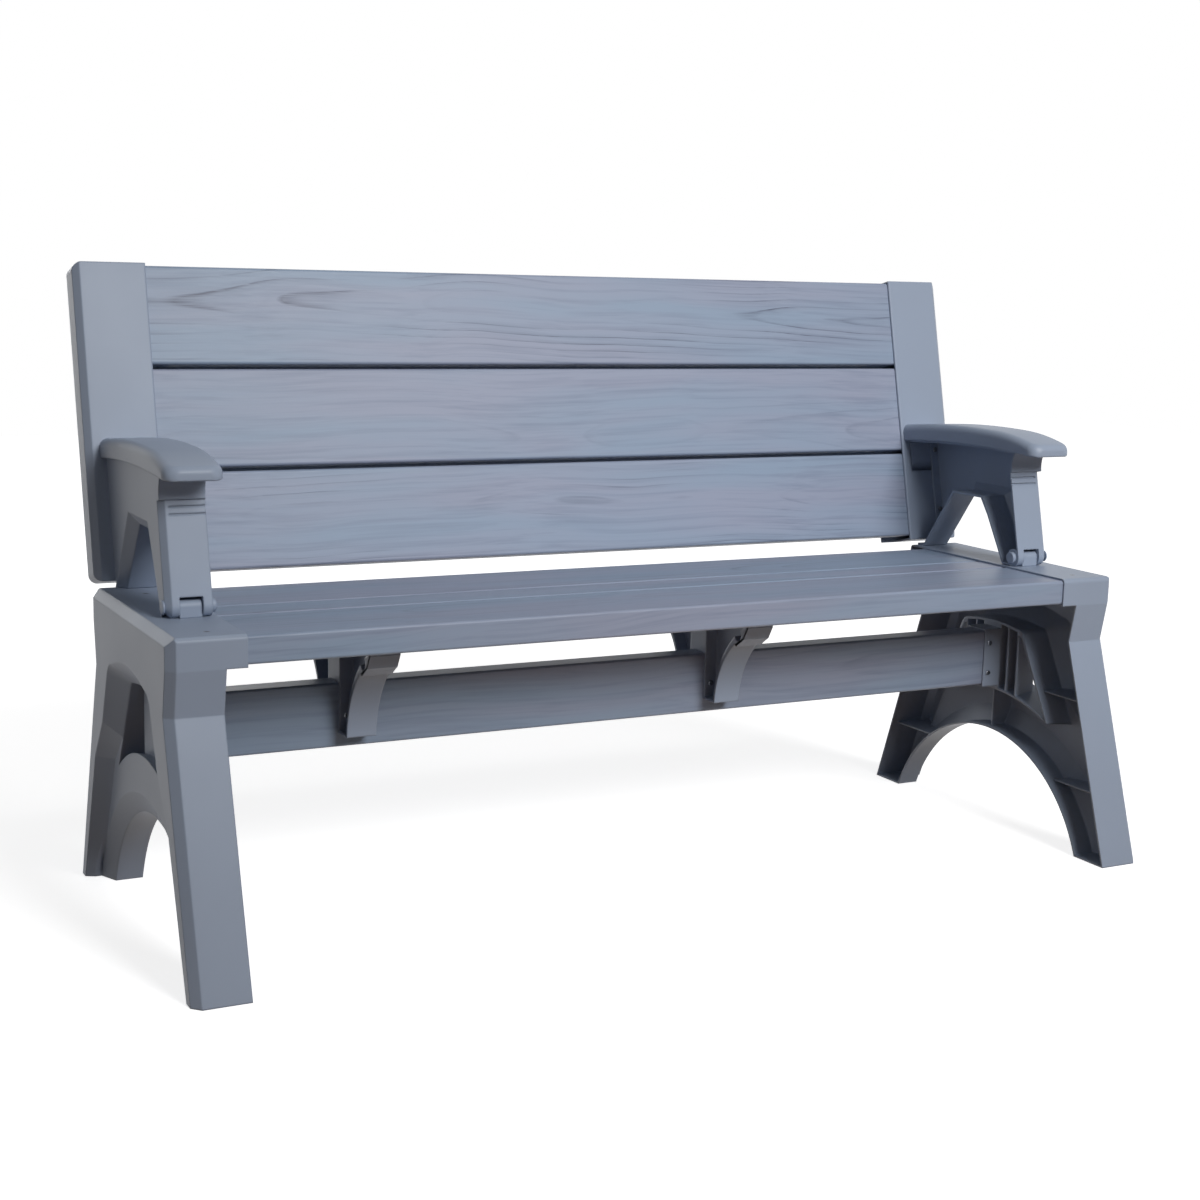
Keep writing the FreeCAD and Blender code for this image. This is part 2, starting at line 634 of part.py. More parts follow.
def leg_frame():
    body = new_body("LeftLegFrame")

    outline = new_sketch(body, "Silhouette")
    waist = half_depth - S.waist_inset
    draw(outline,
         (-toe, 0), (toe, 0), (waist, S.waist_height), (half_depth, deck_bottom),
         (half_depth, S.seat_height), (-half_depth, S.seat_height),
         (-half_depth, deck_bottom), (-waist, S.waist_height))
    pad(body, "Block", outline, S.leg_width)
    dress(body, "Chamfer", "OuterChamfer", S.corner_chamfer,
          lambda at, edge: near(at.x, 0) and at.z > 1)

    hollow(body, "Tray", S.wall, S.leg_width)

    web = S.recess_depth + S.wall
    loft(body, "RecessWall", rim(body, "RimGrown", 0, True, False),
         rim(body, "ThroatGrown", web, True, True))
    tube_wall = S.wall + S.rib_thickness / 2
    loft(body, "WindowTube", window_outline(body, "TubeOuter", S.recess_depth, tube_wall),
         window_outline(body, "TubeInner", S.leg_width, tube_wall))

    crease = arch_radius + S.arch_flare
    tube_start = S.recess_depth + S.arch_flare_depth
    ring = new_sketch(body, "ArchRing", "XZ_Plane", shift=arch_centre)
    draw(ring,
         (S.recess_depth, arch_radius - S.wall), (S.leg_width, arch_radius - S.wall),
         (S.leg_width, arch_radius + S.wall), (tube_start + S.wall, arch_radius + S.wall),
         (S.recess_depth + S.wall, crease + S.wall), (S.recess_depth, crease + S.wall))
    spin(body, "ArchTube", ring)

    rib_end = S.leg_width - S.rib_setback
    for side in (-1, 1):
        for name, height, inner in (("Upper", S.upper_rib, window_half(S.upper_rib)),
                                    ("Lower", S.lower_rib, arch_half * 0.7)):
            outer = silhouette_at(height) - S.wall / 2
            bevel = silhouette_at(height) - S.corner_chamfer
            sketch = new_sketch(body, f"{name}Rib{side + 1}", "XY_Plane", level=height)
            draw(sketch,
                 (S.wall / 2, inner * side), (rib_end, inner * side), (rib_end, outer * side),
                 (S.corner_chamfer, outer * side), (S.wall / 2, bevel * side))
            pad(body, f"{name}CrossRib{side + 1}", sketch, S.rib_thickness)
    middle_rib = new_sketch(body, "MiddleRib", level=S.recess_depth + S.wall / 2)
    draw_box(middle_rib, -S.rib_thickness / 2, S.arch_rise,
             S.rib_thickness / 2, S.hump_inner - S.wall)
    pad(body, "BridgeRib", middle_rib, rib_end - S.recess_depth)

    deck = new_sketch(body, "DeckSection", level=S.sleeve_start)
    draw_box(deck, -half_depth, deck_bottom, half_depth, S.seat_height)
    pad(body, "Deck", deck, S.deck_width - S.sleeve_start)

    loft(body, "Recess", rim(body, "Rim", 0, False, False),
         rim(body, "Throat", S.recess_depth, False, True), cut=True)
    web_level = S.recess_depth + S.web_setback
    loft(body, "OuterWindow", window_outline(body, "WindowOuter", S.recess_depth),
         window_outline(body, "WindowWeb", web_level), cut=True)
    for side in (-1, 1):
        loft(body, f"SideWindow{side + 1}", side_window(body, f"SideOuter{side + 1}", web_level, side),
             side_window(body, f"SideInner{side + 1}", S.leg_width, side), cut=True)
    cell_floor = web_level + S.wall
    panel = S.panel_half - S.rib_thickness
    ribs = [panel, panel - S.rib_step, socket_half + S.wall]
    for number in (0, 1):
        for side in (-1, 1):
            outer = ribs[number] if number == 0 else ribs[number] - S.rib_thickness
            inner = ribs[number + 1]
            start, end = (-outer, -inner) if side < 0 else (inner, outer)
            name = f"Cell{number}{side + 1}"
            loft(body, name, cell(body, name + "Floor", cell_floor, start, end),
                 cell(body, name + "Mouth", S.leg_width, start, end), cut=True)

    hole = new_sketch(body, "ArchHole", "XZ_Plane", shift=arch_centre)
    draw(hole, (0, 0), (S.leg_width, 0), (S.leg_width, arch_radius), (tube_start, arch_radius),
         (S.recess_depth, crease), (0, crease))
    spin(body, "Arch", hole, cut=True)
    below = new_sketch(body, "BelowFloor", "XY_Plane")
    draw_box(below, 0, -toe, S.leg_width, toe)
    pocket(body, "FloorCut", below, crease + S.wall - arch_centre)

    sleeve = new_sketch(body, "SocketSection", level=S.leg_width - S.wall)
    socket_low = S.stretcher_bottom - S.fit_gap - S.wall
    draw_box(sleeve, -socket_half - S.wall, socket_low, socket_half + S.wall,
             stretcher_top + S.fit_gap + S.wall)
    pad(body, "Socket", sleeve, S.socket_reach - S.leg_width + S.wall)
    room = new_sketch(body, "SocketRoom", level=S.socket_reach)
    draw_box(room, -socket_half, S.stretcher_bottom - S.fit_gap, socket_half,
             stretcher_top + S.fit_gap)
    pocket(body, "SocketHole", room, S.socket_reach - cell_floor)

    slot = new_sketch(body, "BoardSlot", level=S.deck_width)
    slot_end = board_front + boards_depth + S.fit_gap
    for start, end in ((board_front - S.fit_gap, slot_end),
                       (slot_end + S.wall, half_depth - S.wall)):
        draw_box(slot, start, deck_bottom + S.wall, end, S.seat_height - S.wall)
    pocket(body, "BoardRoom", slot, S.deck_width - S.sleeve_start - S.wall)

    dress(body, "Fillet", "DeckRound", S.deck_radius,
          lambda at, edge: near(abs(at.y), half_depth.value) and near(at.z, S.seat_height.value)
          and edge.Length > S.deck_width.value / 2)

    bore(body, "HingeScrews", "XY_Plane", S.seat_height,
         [(across, hinge_screw_along) for across in hinge_screw_ends], S.wall * 2)
    bore(body, "DeckScrews", "XY_Plane", S.seat_height,
         [(S.deck_screw_inset, along) for along in deck_screw_places], S.wall * 2)
    dress(body, "Chamfer", "Countersinks", S.screw_head - S.screw_radius,
          lambda at, edge: near(at.z, S.seat_height.value)
          and near(edge.BoundBox.Center.x, S.deck_screw_inset.value)
          and near(edge.Length, 2 * math.pi * (S.screw_radius + S.screw_gap).value))
    socket_holes = new_sketch(body, "SocketScrewHoles", "XZ_Plane")
    for height in socket_screw_heights:
        draw_circle(socket_holes, S.socket_reach - S.socket_screw_inset, height,
                    S.screw_radius + S.screw_gap)
    cut_through(body, "SocketHoles", socket_holes)

    seat(body, "left_leg_frame", left_end, as_size(0), as_size(0))
    mirror("right_leg_frame", body)


# Boards: hollow, with cells between webs

def cells_in(width, count):
    """Left edges of equal cells in a board, and their width."""
    room = (width - S.board_shell * (count + 1)) / count
    return [S.board_shell + (room + S.board_shell) * number for number in range(count)], room


def hollow_board(name, length, width, thickness, cells):
    body = new_body(name)
    section = new_sketch(body, name + "Section")
    draw_box(section, 0, 0, width, thickness)
    pad(body, name + "Block", section, length)
    dress(body, "Fillet", name + "Edges", S.board_radius,
          lambda at, edge: runs_along(edge, X_AXIS))
    hole = new_sketch(body, name + "Cells", level=length)
    starts, room = cells_in(width, cells)
    for start in starts:
        draw_box(hole, start, S.board_shell, start + room, thickness - S.board_shell)
    pocket(body, name + "Hollow", hole, length)
    return body


seat_board_inset = S.sleeve_start + S.wall + S.end_gap
seat_board_length = S.bench_length - 2 * seat_board_inset
seat_screw_ends = (S.deck_screw_inset - seat_board_inset,
                   seat_board_length - S.deck_screw_inset + seat_board_inset)
bracket_middles = (S.bracket_left, S.bench_length - S.bracket_right)
bracket_screw_offset = S.bracket_width / 4
bracket_screw_along = S.bracket_front - S.bracket_wall - S.bracket_access


def seat_boards():
    wide_middle = S.wide_board / 2
    front = hollow_board("SeatFront", seat_board_length, S.wide_board, S.board_thickness, 4)
    middle_board = hollow_board("SeatMiddle", seat_board_length, S.narrow_board,
                                S.board_thickness, 2)
    rear = hollow_board("SeatRear", seat_board_length, S.wide_board, S.board_thickness, 4)
    rear_start = board_front + S.wide_board + S.narrow_board + 2 * S.seat_seam
    for board, start, screw in ((front, board_front, deck_screw_places[0]),
                                (rear, rear_start, deck_screw_places[1])):
        bore(board, "DeckScrews", "XY_Plane", S.board_thickness,
             [(end, screw - start) for end in seat_screw_ends], S.board_shell * 2)
        side = -1 if start is board_front else 1
        spots = [(at - seat_board_inset + step, bracket_screw_along * side - start)
                 for at in bracket_middles
                 for step in (-bracket_screw_offset, bracket_screw_offset)]
        bore(board, "BracketScrews", "XY_Plane", 0, spots, S.board_shell * 2, reverse=True)
    middle_start = board_front + S.wide_board + S.seat_seam
    bore(middle_board, "HingeScrews", "XY_Plane", S.board_thickness,
         [(end - seat_board_inset, hinge_screw_along - middle_start)
          for end in hinge_screw_ends + tuple(S.bench_length - end for end in hinge_screw_ends)],
         S.board_shell * 2)
    across = left_end + seat_board_inset
    seat(front, "seat_board_front", across, board_front, board_bottom)
    seat(middle_board, "seat_board_middle", across, middle_start, board_bottom)
    seat(rear, "seat_board_rear", across, rear_start, board_bottom)


stretcher_inset = S.recess_depth + S.web_setback + S.wall + S.end_gap
stretcher_length = S.bench_length - 2 * stretcher_inset


def stretcher():
    """A hollow board on edge: its width stands up and its thickness runs from front to rear."""
    body = hollow_board("Stretcher", stretcher_length, S.stretcher_thickness,
                        S.stretcher_height, 1)
    sides = new_sketch(body, "SocketScrewPlaces", "XZ_Plane")
    inset = S.socket_reach - S.socket_screw_inset - stretcher_inset
    for end in (inset, stretcher_length - inset):
        for height in socket_screw_heights:
            draw_circle(sides, end, height - S.stretcher_bottom, S.screw_radius + S.screw_gap)
    for at in bracket_middles:
        for step in (-bracket_screw_offset, bracket_screw_offset):
            draw_circle(sides, at - stretcher_inset + step, S.stretcher_height / 2,
                        S.screw_radius + S.screw_gap)
    cut_through(body, "SocketScrewHoles", sides)
    seat(body, "stretcher_board", left_end + stretcher_inset, -S.stretcher_thickness / 2,
         S.stretcher_bottom)


# Seat brackets: a corbel on both sides of the stretcher, with a web between its flanges

bracket_top = board_bottom - S.seat_gap
notch_half = S.stretcher_thickness / 2 + S.seat_gap
notch_top = stretcher_top + S.seat_gap


def corbel_pocket(body, name, level, side, reverse):
    """The hollow between web and flanges, on one side of the stretcher."""
    inner = notch_half + S.bracket_wall
    tip = S.bracket_front - S.bracket_wall
    low = bracket_top - S.bracket_drop + S.bracket_wall
    foot = S.bracket_foot - S.bracket_wall
    curve = S.bracket_pocket_curve
    under_tip = bracket_top - S.bracket_tip + S.bracket_wall
    sketch = new_sketch(body, name + "Outline", level=level)
    bulge = "right" if side > 0 else "left"
    draw(sketch,
         (inner * side, low), (foot * side, low, curve, "left" if side > 0 else "right"),
         (tip * side, under_tip), (tip * side, bracket_top - S.bracket_wall),
         (inner * side, bracket_top - S.bracket_wall))
    return pocket(body, name, sketch, (S.bracket_width - S.bracket_wall) / 2, reverse=reverse)


def seat_bracket(name, centre):
    body = new_body(name)
    low = bracket_top - S.bracket_drop
    under_tip = bracket_top - S.bracket_tip
    step = (S.bracket_step, bracket_top - S.bracket_step_drop)
    heel = (S.bracket_heel, bracket_top - S.bracket_heel_drop)
    chin = (S.bracket_chin, bracket_top - S.bracket_chin_drop)
    outline = new_sketch(body, "Outline")
    draw(outline,
         (-S.bracket_foot, low), (-notch_half, low), (-notch_half, notch_top),
         (notch_half, notch_top), (notch_half, low),
         (S.bracket_foot, low, S.bracket_curve, "left"), step, heel, chin,
         (S.bracket_front, under_tip), (S.bracket_front, bracket_top),
         (-S.bracket_front, bracket_top), (-S.bracket_front, under_tip),
         (-chin[0], chin[1]), (-heel[0], heel[1]), (-step[0], step[1], S.bracket_curve, "left"))
    pad(body, "Block", outline, S.bracket_width, both_ways=True)
    for side in (-1, 1):
        corbel_pocket(body, f"Right{side + 1}", S.bracket_width / 2, side, False)
        corbel_pocket(body, f"Left{side + 1}", -S.bracket_width / 2, side, True)
    hole = new_sketch(body, "HolePlace")
    draw_circle(hole, -S.bracket_hole_front, bracket_top - S.bracket_hole_drop, S.bracket_hole)
    cut_through(body, "Hole", hole)
    screws = [(step, bracket_screw_along * side) for side in (-1, 1)
              for step in (-bracket_screw_offset, bracket_screw_offset)]
    bore(body, "SeatScrews", "XY_Plane", bracket_top, screws, S.bracket_wall * 2)
    access = new_sketch(body, "AccessPlaces", "XY_Plane", level=bracket_top - S.bracket_tip)
    for across, along in screws:
        draw_circle(access, across, along, S.bracket_access)
    pocket(body, "Access", access, S.bracket_heel_drop)
    plates = new_sketch(body, "PlateScrewPlaces", "XZ_Plane")
    for step in (-bracket_screw_offset, bracket_screw_offset):
        draw_circle(plates, step, S.stretcher_bottom + S.stretcher_height / 2,
                    S.screw_radius + S.screw_gap)
    cut = add_feature(body, "Pocket", "PlateScrews", plates,
                      {"Length": (notch_half + S.bracket_wall) * 2, "Midplane": True}, -1)
    return body


def seat_brackets():
    for name, centre in zip(("left_seat_bracket", "right_seat_bracket"), bracket_middles):
        body = seat_bracket(name.title().replace("_", ""), centre)
        seat(body, name, left_end + centre, as_size(0), as_size(0))


# Hinges

def hinge_base():
    body = new_body("LeftHingeBase")
    bottom = S.seat_gap - S.pin_rise
    top = bottom + S.hinge_plate
    outline = new_sketch(body, "Profile", level=S.knuckle_start + S.run_gap)
    draw(outline,
         (-S.knuckle_radius, bottom), (S.hinge_plate_rear, bottom), (S.hinge_plate_rear, top),
         (S.knuckle_radius, top), (S.knuckle_radius, 0, S.knuckle_radius, "right"),
         (0, S.knuckle_radius, S.knuckle_radius, "right"), (-S.knuckle_radius, 0))
    pad(body, "Knuckle", outline, S.knuckle_width - 2 * S.run_gap)
    hole = new_sketch(body, "BorePlace")
    draw_circle(hole, 0, 0, S.pin_radius + S.bore_gap)
    cut_through(body, "Bore", hole)
    bore(body, "PlateScrews", "XY_Plane", top,
         [(end, hinge_screw_along - pin_along) for end in hinge_screw_ends], S.hinge_plate * 2)
    seat(body, "left_hinge_base", left_end, pin_along, pin_up)
    mirror("right_hinge_base", body)


pin_end = S.arm_start + S.arm_width + S.pin_cap - S.seat_gap


def hinge_pin():
    body = new_body("LeftHingePin")
    outer = S.arm_start - S.seat_gap - S.pin_head
    profile = new_sketch(body, "Profile", "XZ_Plane")
    draw(profile,
         (outer, 0), (pin_end, 0), (pin_end, S.pin_radius),
         (S.arm_start - S.seat_gap, S.pin_radius), (S.arm_start - S.seat_gap, S.pin_head_radius),
         (outer, S.pin_head_radius))
    spin(body, "Pin", profile)
    dress(body, "Chamfer", "HeadRound", S.pin_head / 3,
          lambda at, edge: near(edge.BoundBox.XMax, outer.value)
          and near(edge.Length, 2 * math.pi * S.pin_head_radius.value))
    seat(body, "left_hinge_pin", left_end, pin_along, pin_up)
    mirror("right_hinge_pin", body)


def hinge_cap():
    body = new_body("LeftPinCap")
    start = S.arm_start + S.arm_width + S.seat_gap
    end = start + S.pin_cap + S.pin_head / 2
    inner = S.pin_radius + S.bore_gap
    profile = new_sketch(body, "Profile", "XZ_Plane")
    draw(profile,
         (start, inner), (pin_end + S.seat_gap, inner), (pin_end + S.seat_gap, 0), (end, 0),
         (end, S.pin_head_radius), (start, S.pin_head_radius))
    spin(body, "Cap", profile)
    dress(body, "Chamfer", "RimRound", S.pin_head / 3,
          lambda at, edge: near(edge.BoundBox.XMin, end.value)
          and near(edge.Length, 2 * math.pi * S.pin_head_radius.value))
    seat(body, "left_pin_cap", left_end, pin_along, pin_up)
    mirror("right_pin_cap", body)


# Back: boards that lean with the back, drawn with their width along it and their front up

upright = 90 - S.recline
back_board_inset = S.cap_start + S.cap_end + S.end_gap
back_board_length = S.bench_length - 2 * back_board_inset
board_pitch = S.wide_board + S.back_seam
back_bottom = S.back_top - 3 * S.wide_board - 2 * S.back_seam
cap_screw_end = S.cap_start + S.cap_width / 2


def seat_leaning(body, name, across, height, forward):
    """Puts a piece on the leaning back: its width runs up the back, its thickness forward."""
    along, up = leaning(height, forward)
    seat(body, name, across, pin_along + along, pin_up + up, upright)


def back_boards():
    names = ("back_board_bottom", "back_board_middle", "back_board_top")
    for number, name in enumerate(names):
        body = hollow_board(name.title().replace("_", ""), back_board_length, S.wide_board,
                            S.board_thickness, 4)
        ends = (cap_screw_end - back_board_inset,
                back_board_length - cap_screw_end + back_board_inset)
        bore(body, "CapScrews", "XY_Plane", 0, [(end, S.wide_board / 2) for end in ends],
             S.screw_length, reverse=True)
        if number == 0:
            ends = (arm_bolt_across - back_board_inset,
                    back_board_length - arm_bolt_across + back_board_inset)
            bore(body, "ArmBolts", "XY_Plane", S.board_thickness,
                 [(end, arm_bolt_up(0) - back_bottom) for end in ends], S.screw_length)
        seat_leaning(body, name, left_end + back_board_inset, back_bottom + board_pitch * number,
                     -S.arm_reach - S.board_thickness)


def back_cap():
    """A sleeve over the board ends; its rear plate reaches further in than its front."""
    body = new_body("LeftBackCap")
    inner_end = S.cap_start + S.cap_width
    height = S.back_top - back_bottom + S.cap_above + S.cap_below
    depth = S.board_thickness + 2 * cap_skin
    block = new_sketch(body, "Section", level=S.cap_start)
    draw_box(block, 0, 0, height, depth)
    pad(body, "Block", block, S.cap_width)
    dress(body, "Chamfer", "OuterFrontChamfer", S.cap_chamfer,
          lambda at, edge: near(at.x, S.cap_start.value) and near(at.z, depth.value))
    dress(body, "Fillet", "CornerRound", S.cap_corner,
          lambda at, edge: near(at.x, S.cap_start.value)
          and (near(at.y, height.value) or near(at.y, 0)) and at.z > 1
          and runs_along(edge, Vector(0, 0, 1)))
    plate = new_sketch(body, "PlateSection", level=inner_end)
    draw_box(plate, 0, 0, height, S.cap_wall)
    pad(body, "RearPlate", plate, S.cap_lip)
    dress(body, "Fillet", "FrontLipRound", S.cap_edge,
          lambda at, edge: near(at.x, inner_end.value) and near(at.z, depth.value))
    dress(body, "Fillet", "RearRound", S.cap_edge,
          lambda at, edge: near(at.z, 0) and not near(at.y, 0) and not near(at.y, height.value)
          and near(at.x, S.cap_start.value))
    room = new_sketch(body, "RoomSection", level=inner_end)
    draw_box(room, S.cap_wall, S.cap_wall, height - S.cap_above + S.fit_gap, depth - S.cap_wall)
    pocket(body, "Room", room, S.cap_width - S.cap_end)
    screws = [(cap_screw_end, S.cap_below + S.wide_board / 2 + board_pitch * number)
              for number in range(3)]
    bore(body, "BoardScrews", "XY_Plane", 0, screws, S.cap_wall * 2, reverse=True)
    front = [(arm_bolt_across, arm_bolt_up(number) - back_bottom + S.cap_below)
             for number in (0, 1)]
    bore(body, "ArmBolts", "XY_Plane", depth, front, S.cap_wall * 2)
    seat_leaning(body, "left_back_cap", left_end, back_bottom - S.cap_below, -back_rear)
    mirror("right_back_cap", body)


arm_bolt_across = S.arm_start + S.arm_flange / 2
bolt_seat = cap_skin + S.seat_gap + S.arm_wall + S.screw_gap - S.arm_reach


def arm_bolt_up(number):
    """Heights of the two bolts between arm and cap, along the back from the pin."""
    height = S.opening_top / 2 if number == 0 else S.pad_bottom - S.arm_flange
    return height / lean_cosine + S.arm_reach * lean_tangent


# Arms, drawn round the pin with the height straight up

def arm_front(height):
    return height * lean_tangent - S.ear_radius / lean_cosine


def arm_rear(height):
    """Face of the back cap, less the gap that keeps the arm off it."""
    return height * lean_tangent + (S.arm_reach - cap_skin - S.seat_gap) / lean_cosine


pad_middle = (arm_rear(S.pad_bottom) - S.pad_nose) / 2
pad_half = (arm_rear(S.pad_bottom) + S.pad_nose) / 2
underside_radius = arc_radius(pad_half, S.pad_bottom_rise)


def underside(along):
    """Height of the pad's underside above the pin."""
    beside = along - pad_middle
    return S.pad_bottom + S.pad_bottom_rise - underside_radius + \
        root(underside_radius * underside_radius - beside * beside)


pad_screw_across = S.arm_start + S.arm_width / 2
pad_screw_places = (S.opening_knee, S.opening_rear)


def opening(body, name, level, grown, below=0):
    """The arm's opening, an inverted V that is open at the bottom."""
    low = -S.ear_radius - below
    top = S.opening_top + grown
    rear_slope = (S.opening_rear - S.opening_top_rear) / S.opening_top
    sketch = new_sketch(body, name, level=level)
    draw(sketch,
         (S.opening_front - grown, low), (S.opening_rear + grown - low * rear_slope, low),
         (S.opening_top_rear + grown, top), (S.opening_top_front - grown, top),
         (S.opening_knee - grown, S.opening_knee_height + grown / 2))
    return sketch


def arm_frame():
    body = new_body("LeftArmFrame")
    low = -S.ear_radius
    tangent_point = (-S.ear_radius * lean_cosine, S.ear_radius * lean_sine)
    ledge_back = leaning(S.ledge, S.ear_radius)
    ledge_front = leaning(S.ledge, S.ear_radius + S.ledge_step)
    neck = leaning(S.neck_height, S.ear_radius + S.neck_flare)
    top_rear = S.pad_bottom - S.seat_gap
    outline = new_sketch(body, "Silhouette", level=S.arm_start)
    draw(outline,
         (0, low), (arm_rear(low), low), (arm_rear(top_rear), top_rear, underside_radius, "right"),
         (neck[0], underside(neck[0]) - S.seat_gap, S.neck_radius, "left"), ledge_front, ledge_back,
         (tangent_point[0], tangent_point[1], S.ear_radius, "right"))
    pad(body, "Block", outline, S.arm_width)
    slope = Vector(0, lean_sine.value, lean_cosine.value)
    dress(body, "Chamfer", "OuterChamfer", S.arm_chamfer,
          lambda at, edge: near(at.x, S.arm_start.value) and runs_along(edge, slope)
          and at.y < S.opening_knee.value)
    hollow(body, "Tray", S.arm_wall, S.arm_start + S.arm_width)

    ears = new_sketch(body, "EarPlace", level=S.arm_start + S.arm_width)
    draw_circle(ears, 0, 0, S.ear_radius)
    pad_back = add_feature(body, "Pad", "Ears", ears,
                           {"Length": S.arm_width - S.arm_chamfer, "Reversed": True}, 1)
    web = S.opening_flare_depth + S.arm_wall
    loft(body, "OpeningWall",
         opening(body, "OpeningOuterGrown", S.arm_start, S.opening_flare + S.arm_wall),
         opening(body, "OpeningInnerGrown", S.arm_start + web, S.arm_wall))
    tube = opening(body, "TubeSection", S.arm_start + S.opening_flare_depth, S.arm_wall)
    pad(body, "Tube", tube, S.arm_width - S.opening_flare_depth)
    loft(body, "OpeningFlare", opening(body, "OpeningOuter", S.arm_start, S.opening_flare, S.run_gap),
         opening(body, "OpeningThroat", S.arm_start + S.opening_flare_depth, 0, S.run_gap), cut=True)
    hole = opening(body, "OpeningSection", S.arm_start + S.arm_width, 0, S.run_gap)
    pocket(body, "Opening", hole, S.arm_width - S.opening_flare_depth)

    slot = new_sketch(body, "KnuckleSlotSection", level=S.knuckle_start + S.knuckle_width)
    front = S.ear_radius * 2
    foot = S.opening_front - S.arm_wall - S.run_gap
    foot_top = S.hinge_plate + S.run_gap - S.pin_rise
    draw(slot,
         (-front, -front), (foot, -front), (foot, foot_top), (S.slot_radius, foot_top),
         (S.slot_radius, 0, S.slot_radius, "right"), (0, S.slot_radius), (-front, S.slot_radius))
    pocket(body, "KnuckleSlot", slot, S.knuckle_width)
    rear = new_sketch(body, "RearRoomSection", level=S.arm_start + S.arm_width)
    draw(rear,
         (arm_rear(low) - S.arm_wall - S.run_gap, low + S.arm_wall), (arm_rear(low) + front, low + S.arm_wall),
         (arm_rear(top_rear) + front, top_rear - S.arm_wall),
         (arm_rear(top_rear) - S.arm_wall - S.run_gap, top_rear - S.arm_wall))
    pocket(body, "RearRoom", rear, S.arm_width - S.arm_flange)

    groove = new_sketch(body, "GrooveSection", level=S.arm_start + S.arm_width)
    for number in (1, 2):
        height = S.ledge - S.groove_step * number
        draw(groove,
             leaning(height, S.ear_radius - S.groove_depth), leaning(height, front),
             leaning(height + S.groove_width, front),
             leaning(height + S.groove_width, S.ear_radius - S.groove_depth))
    pocket(body, "Grooves", groove, S.arm_width - S.groove_inset)
    bolts = new_sketch(body, "BoltPlaces", "XZ_Plane", level=-arm_rear(0) + S.arm_flange)
    for number in (0, 1):
        wall_middle = leaning(arm_bolt_up(number), bolt_seat - S.arm_wall / 2)
        draw_circle(bolts, arm_bolt_across, wall_middle[1], S.screw_radius + S.screw_gap * 6)
    pocket(body, "BoltHoles", bolts, S.pad_bottom)
    bore(body, "PadScrews", "XY_Plane", S.pad_bottom + S.pad_bottom_rise,
         [(pad_screw_across, along) for along in pad_screw_places], S.arm_flange)
    hole = new_sketch(body, "BorePlace")
    draw_circle(hole, 0, 0, S.pin_radius + S.bore_gap)
    cut_through(body, "Bore", hole)
    seat(body, "left_arm_frame", left_end, pin_along, pin_up)
    mirror("right_arm_frame", body)


def arm_pad():
    body = new_body("LeftArmPad")
    outline = new_sketch(body, "Side", level=S.pad_start)
    top_half = (arm_rear(S.pad_top) + S.pad_nose) / 2
    draw(outline,
         (-S.pad_nose, S.pad_bottom, underside_radius, "left"), (arm_rear(S.pad_bottom), S.pad_bottom),
         (arm_rear(S.pad_top), S.pad_top, arc_radius(top_half, S.pad_top_rise), "right"),
         (-S.pad_nose, S.pad_top))
    pad(body, "Block", outline, S.pad_width)
    dress(body, "Fillet", "NoseRound", S.pad_nose_radius,
          lambda at, edge: near(at.y, -S.pad_nose.value) and runs_along(edge, Vector(0, 0, 1)))
    upper = (S.pad_bottom + S.pad_top).value / 2
    dress(body, "Fillet", "UpperRound", S.pad_edge_radius,
          lambda at, edge: at.z > upper and not runs_along(edge, Vector(0, lean_sine.value, lean_cosine.value))
          and at.y < arm_rear(S.pad_top).value - 1)
    dress(body, "Fillet", "LowerRound", S.pad_lower_radius,
          lambda at, edge: at.z < S.pad_bottom.value + S.pad_bottom_rise.value + 0.1
          and at.y < arm_rear(S.pad_bottom).value - 1)
    bore(body, "ScrewHoles", "XY_Plane", 0,
         [(pad_screw_across, along) for along in pad_screw_places],
         S.pad_bottom + S.pad_bottom_rise + S.screw_length, reverse=True)
    seat(body, "left_arm_pad", left_end, pin_along, pin_up)
    mirror("right_arm_pad", body)


# Screws: a head that rests on its seat and a shank in its hole; a group is one sub-part

def screw(name, across, along, up, turn, sunk=False):
    """A screw whose head faces up before it is turned about the bench's length."""
    shank = doc.addObject("Part::Cylinder", name + "Shank")
    bind(shank, "Radius", S.screw_radius)
    bind(shank, "Height", S.screw_length)
    bind(shank, "Placement.Base.z", -S.screw_length)
    if sunk:
        head = doc.addObject("Part::Cone", name + "Head")
        bind(head, "Radius1", S.screw_radius)
        bind(head, "Radius2", S.screw_head)
        bind(head, "Height", S.screw_head - S.screw_radius)
        bind(head, "Placement.Base.z", S.screw_radius - S.screw_head)
    else:
        head = doc.addObject("Part::Cylinder", name + "Head")
        bind(head, "Radius", S.screw_head)
        bind(head, "Height", S.screw_head_height)
    whole = doc.addObject("Part::Fuse", name)
    whole.Base = shank
    whole.Tool = head
    angle = as_size(turn)
    whole.Placement = FreeCAD.Placement(Vector(), FreeCAD.Rotation(X_AXIS, angle.value))
    bind(whole, "Placement.Rotation.Angle", angle)
    bind(whole, "Placement.Base.x", across)
    bind(whole, "Placement.Base.y", along - middle)
    bind(whole, "Placement.Base.z", up)
    return whole


def screw_group(name, places, sunk=False):
    """One sub-part of separate screws: each place is (across, along, up, turn)."""
    group = doc.addObject("Part::Compound", name.title().replace("_", ""))
    group.Links = [screw(f"{name}_{number}", *place, sunk)
                   for number, place in enumerate(places)]
    group.Label = name
    parts[name] = group


def at_both_ends(inset):
    return left_end + inset, -left_end - inset


UP, FRONT, DOWN, REAR = 0, 90, 180, -90


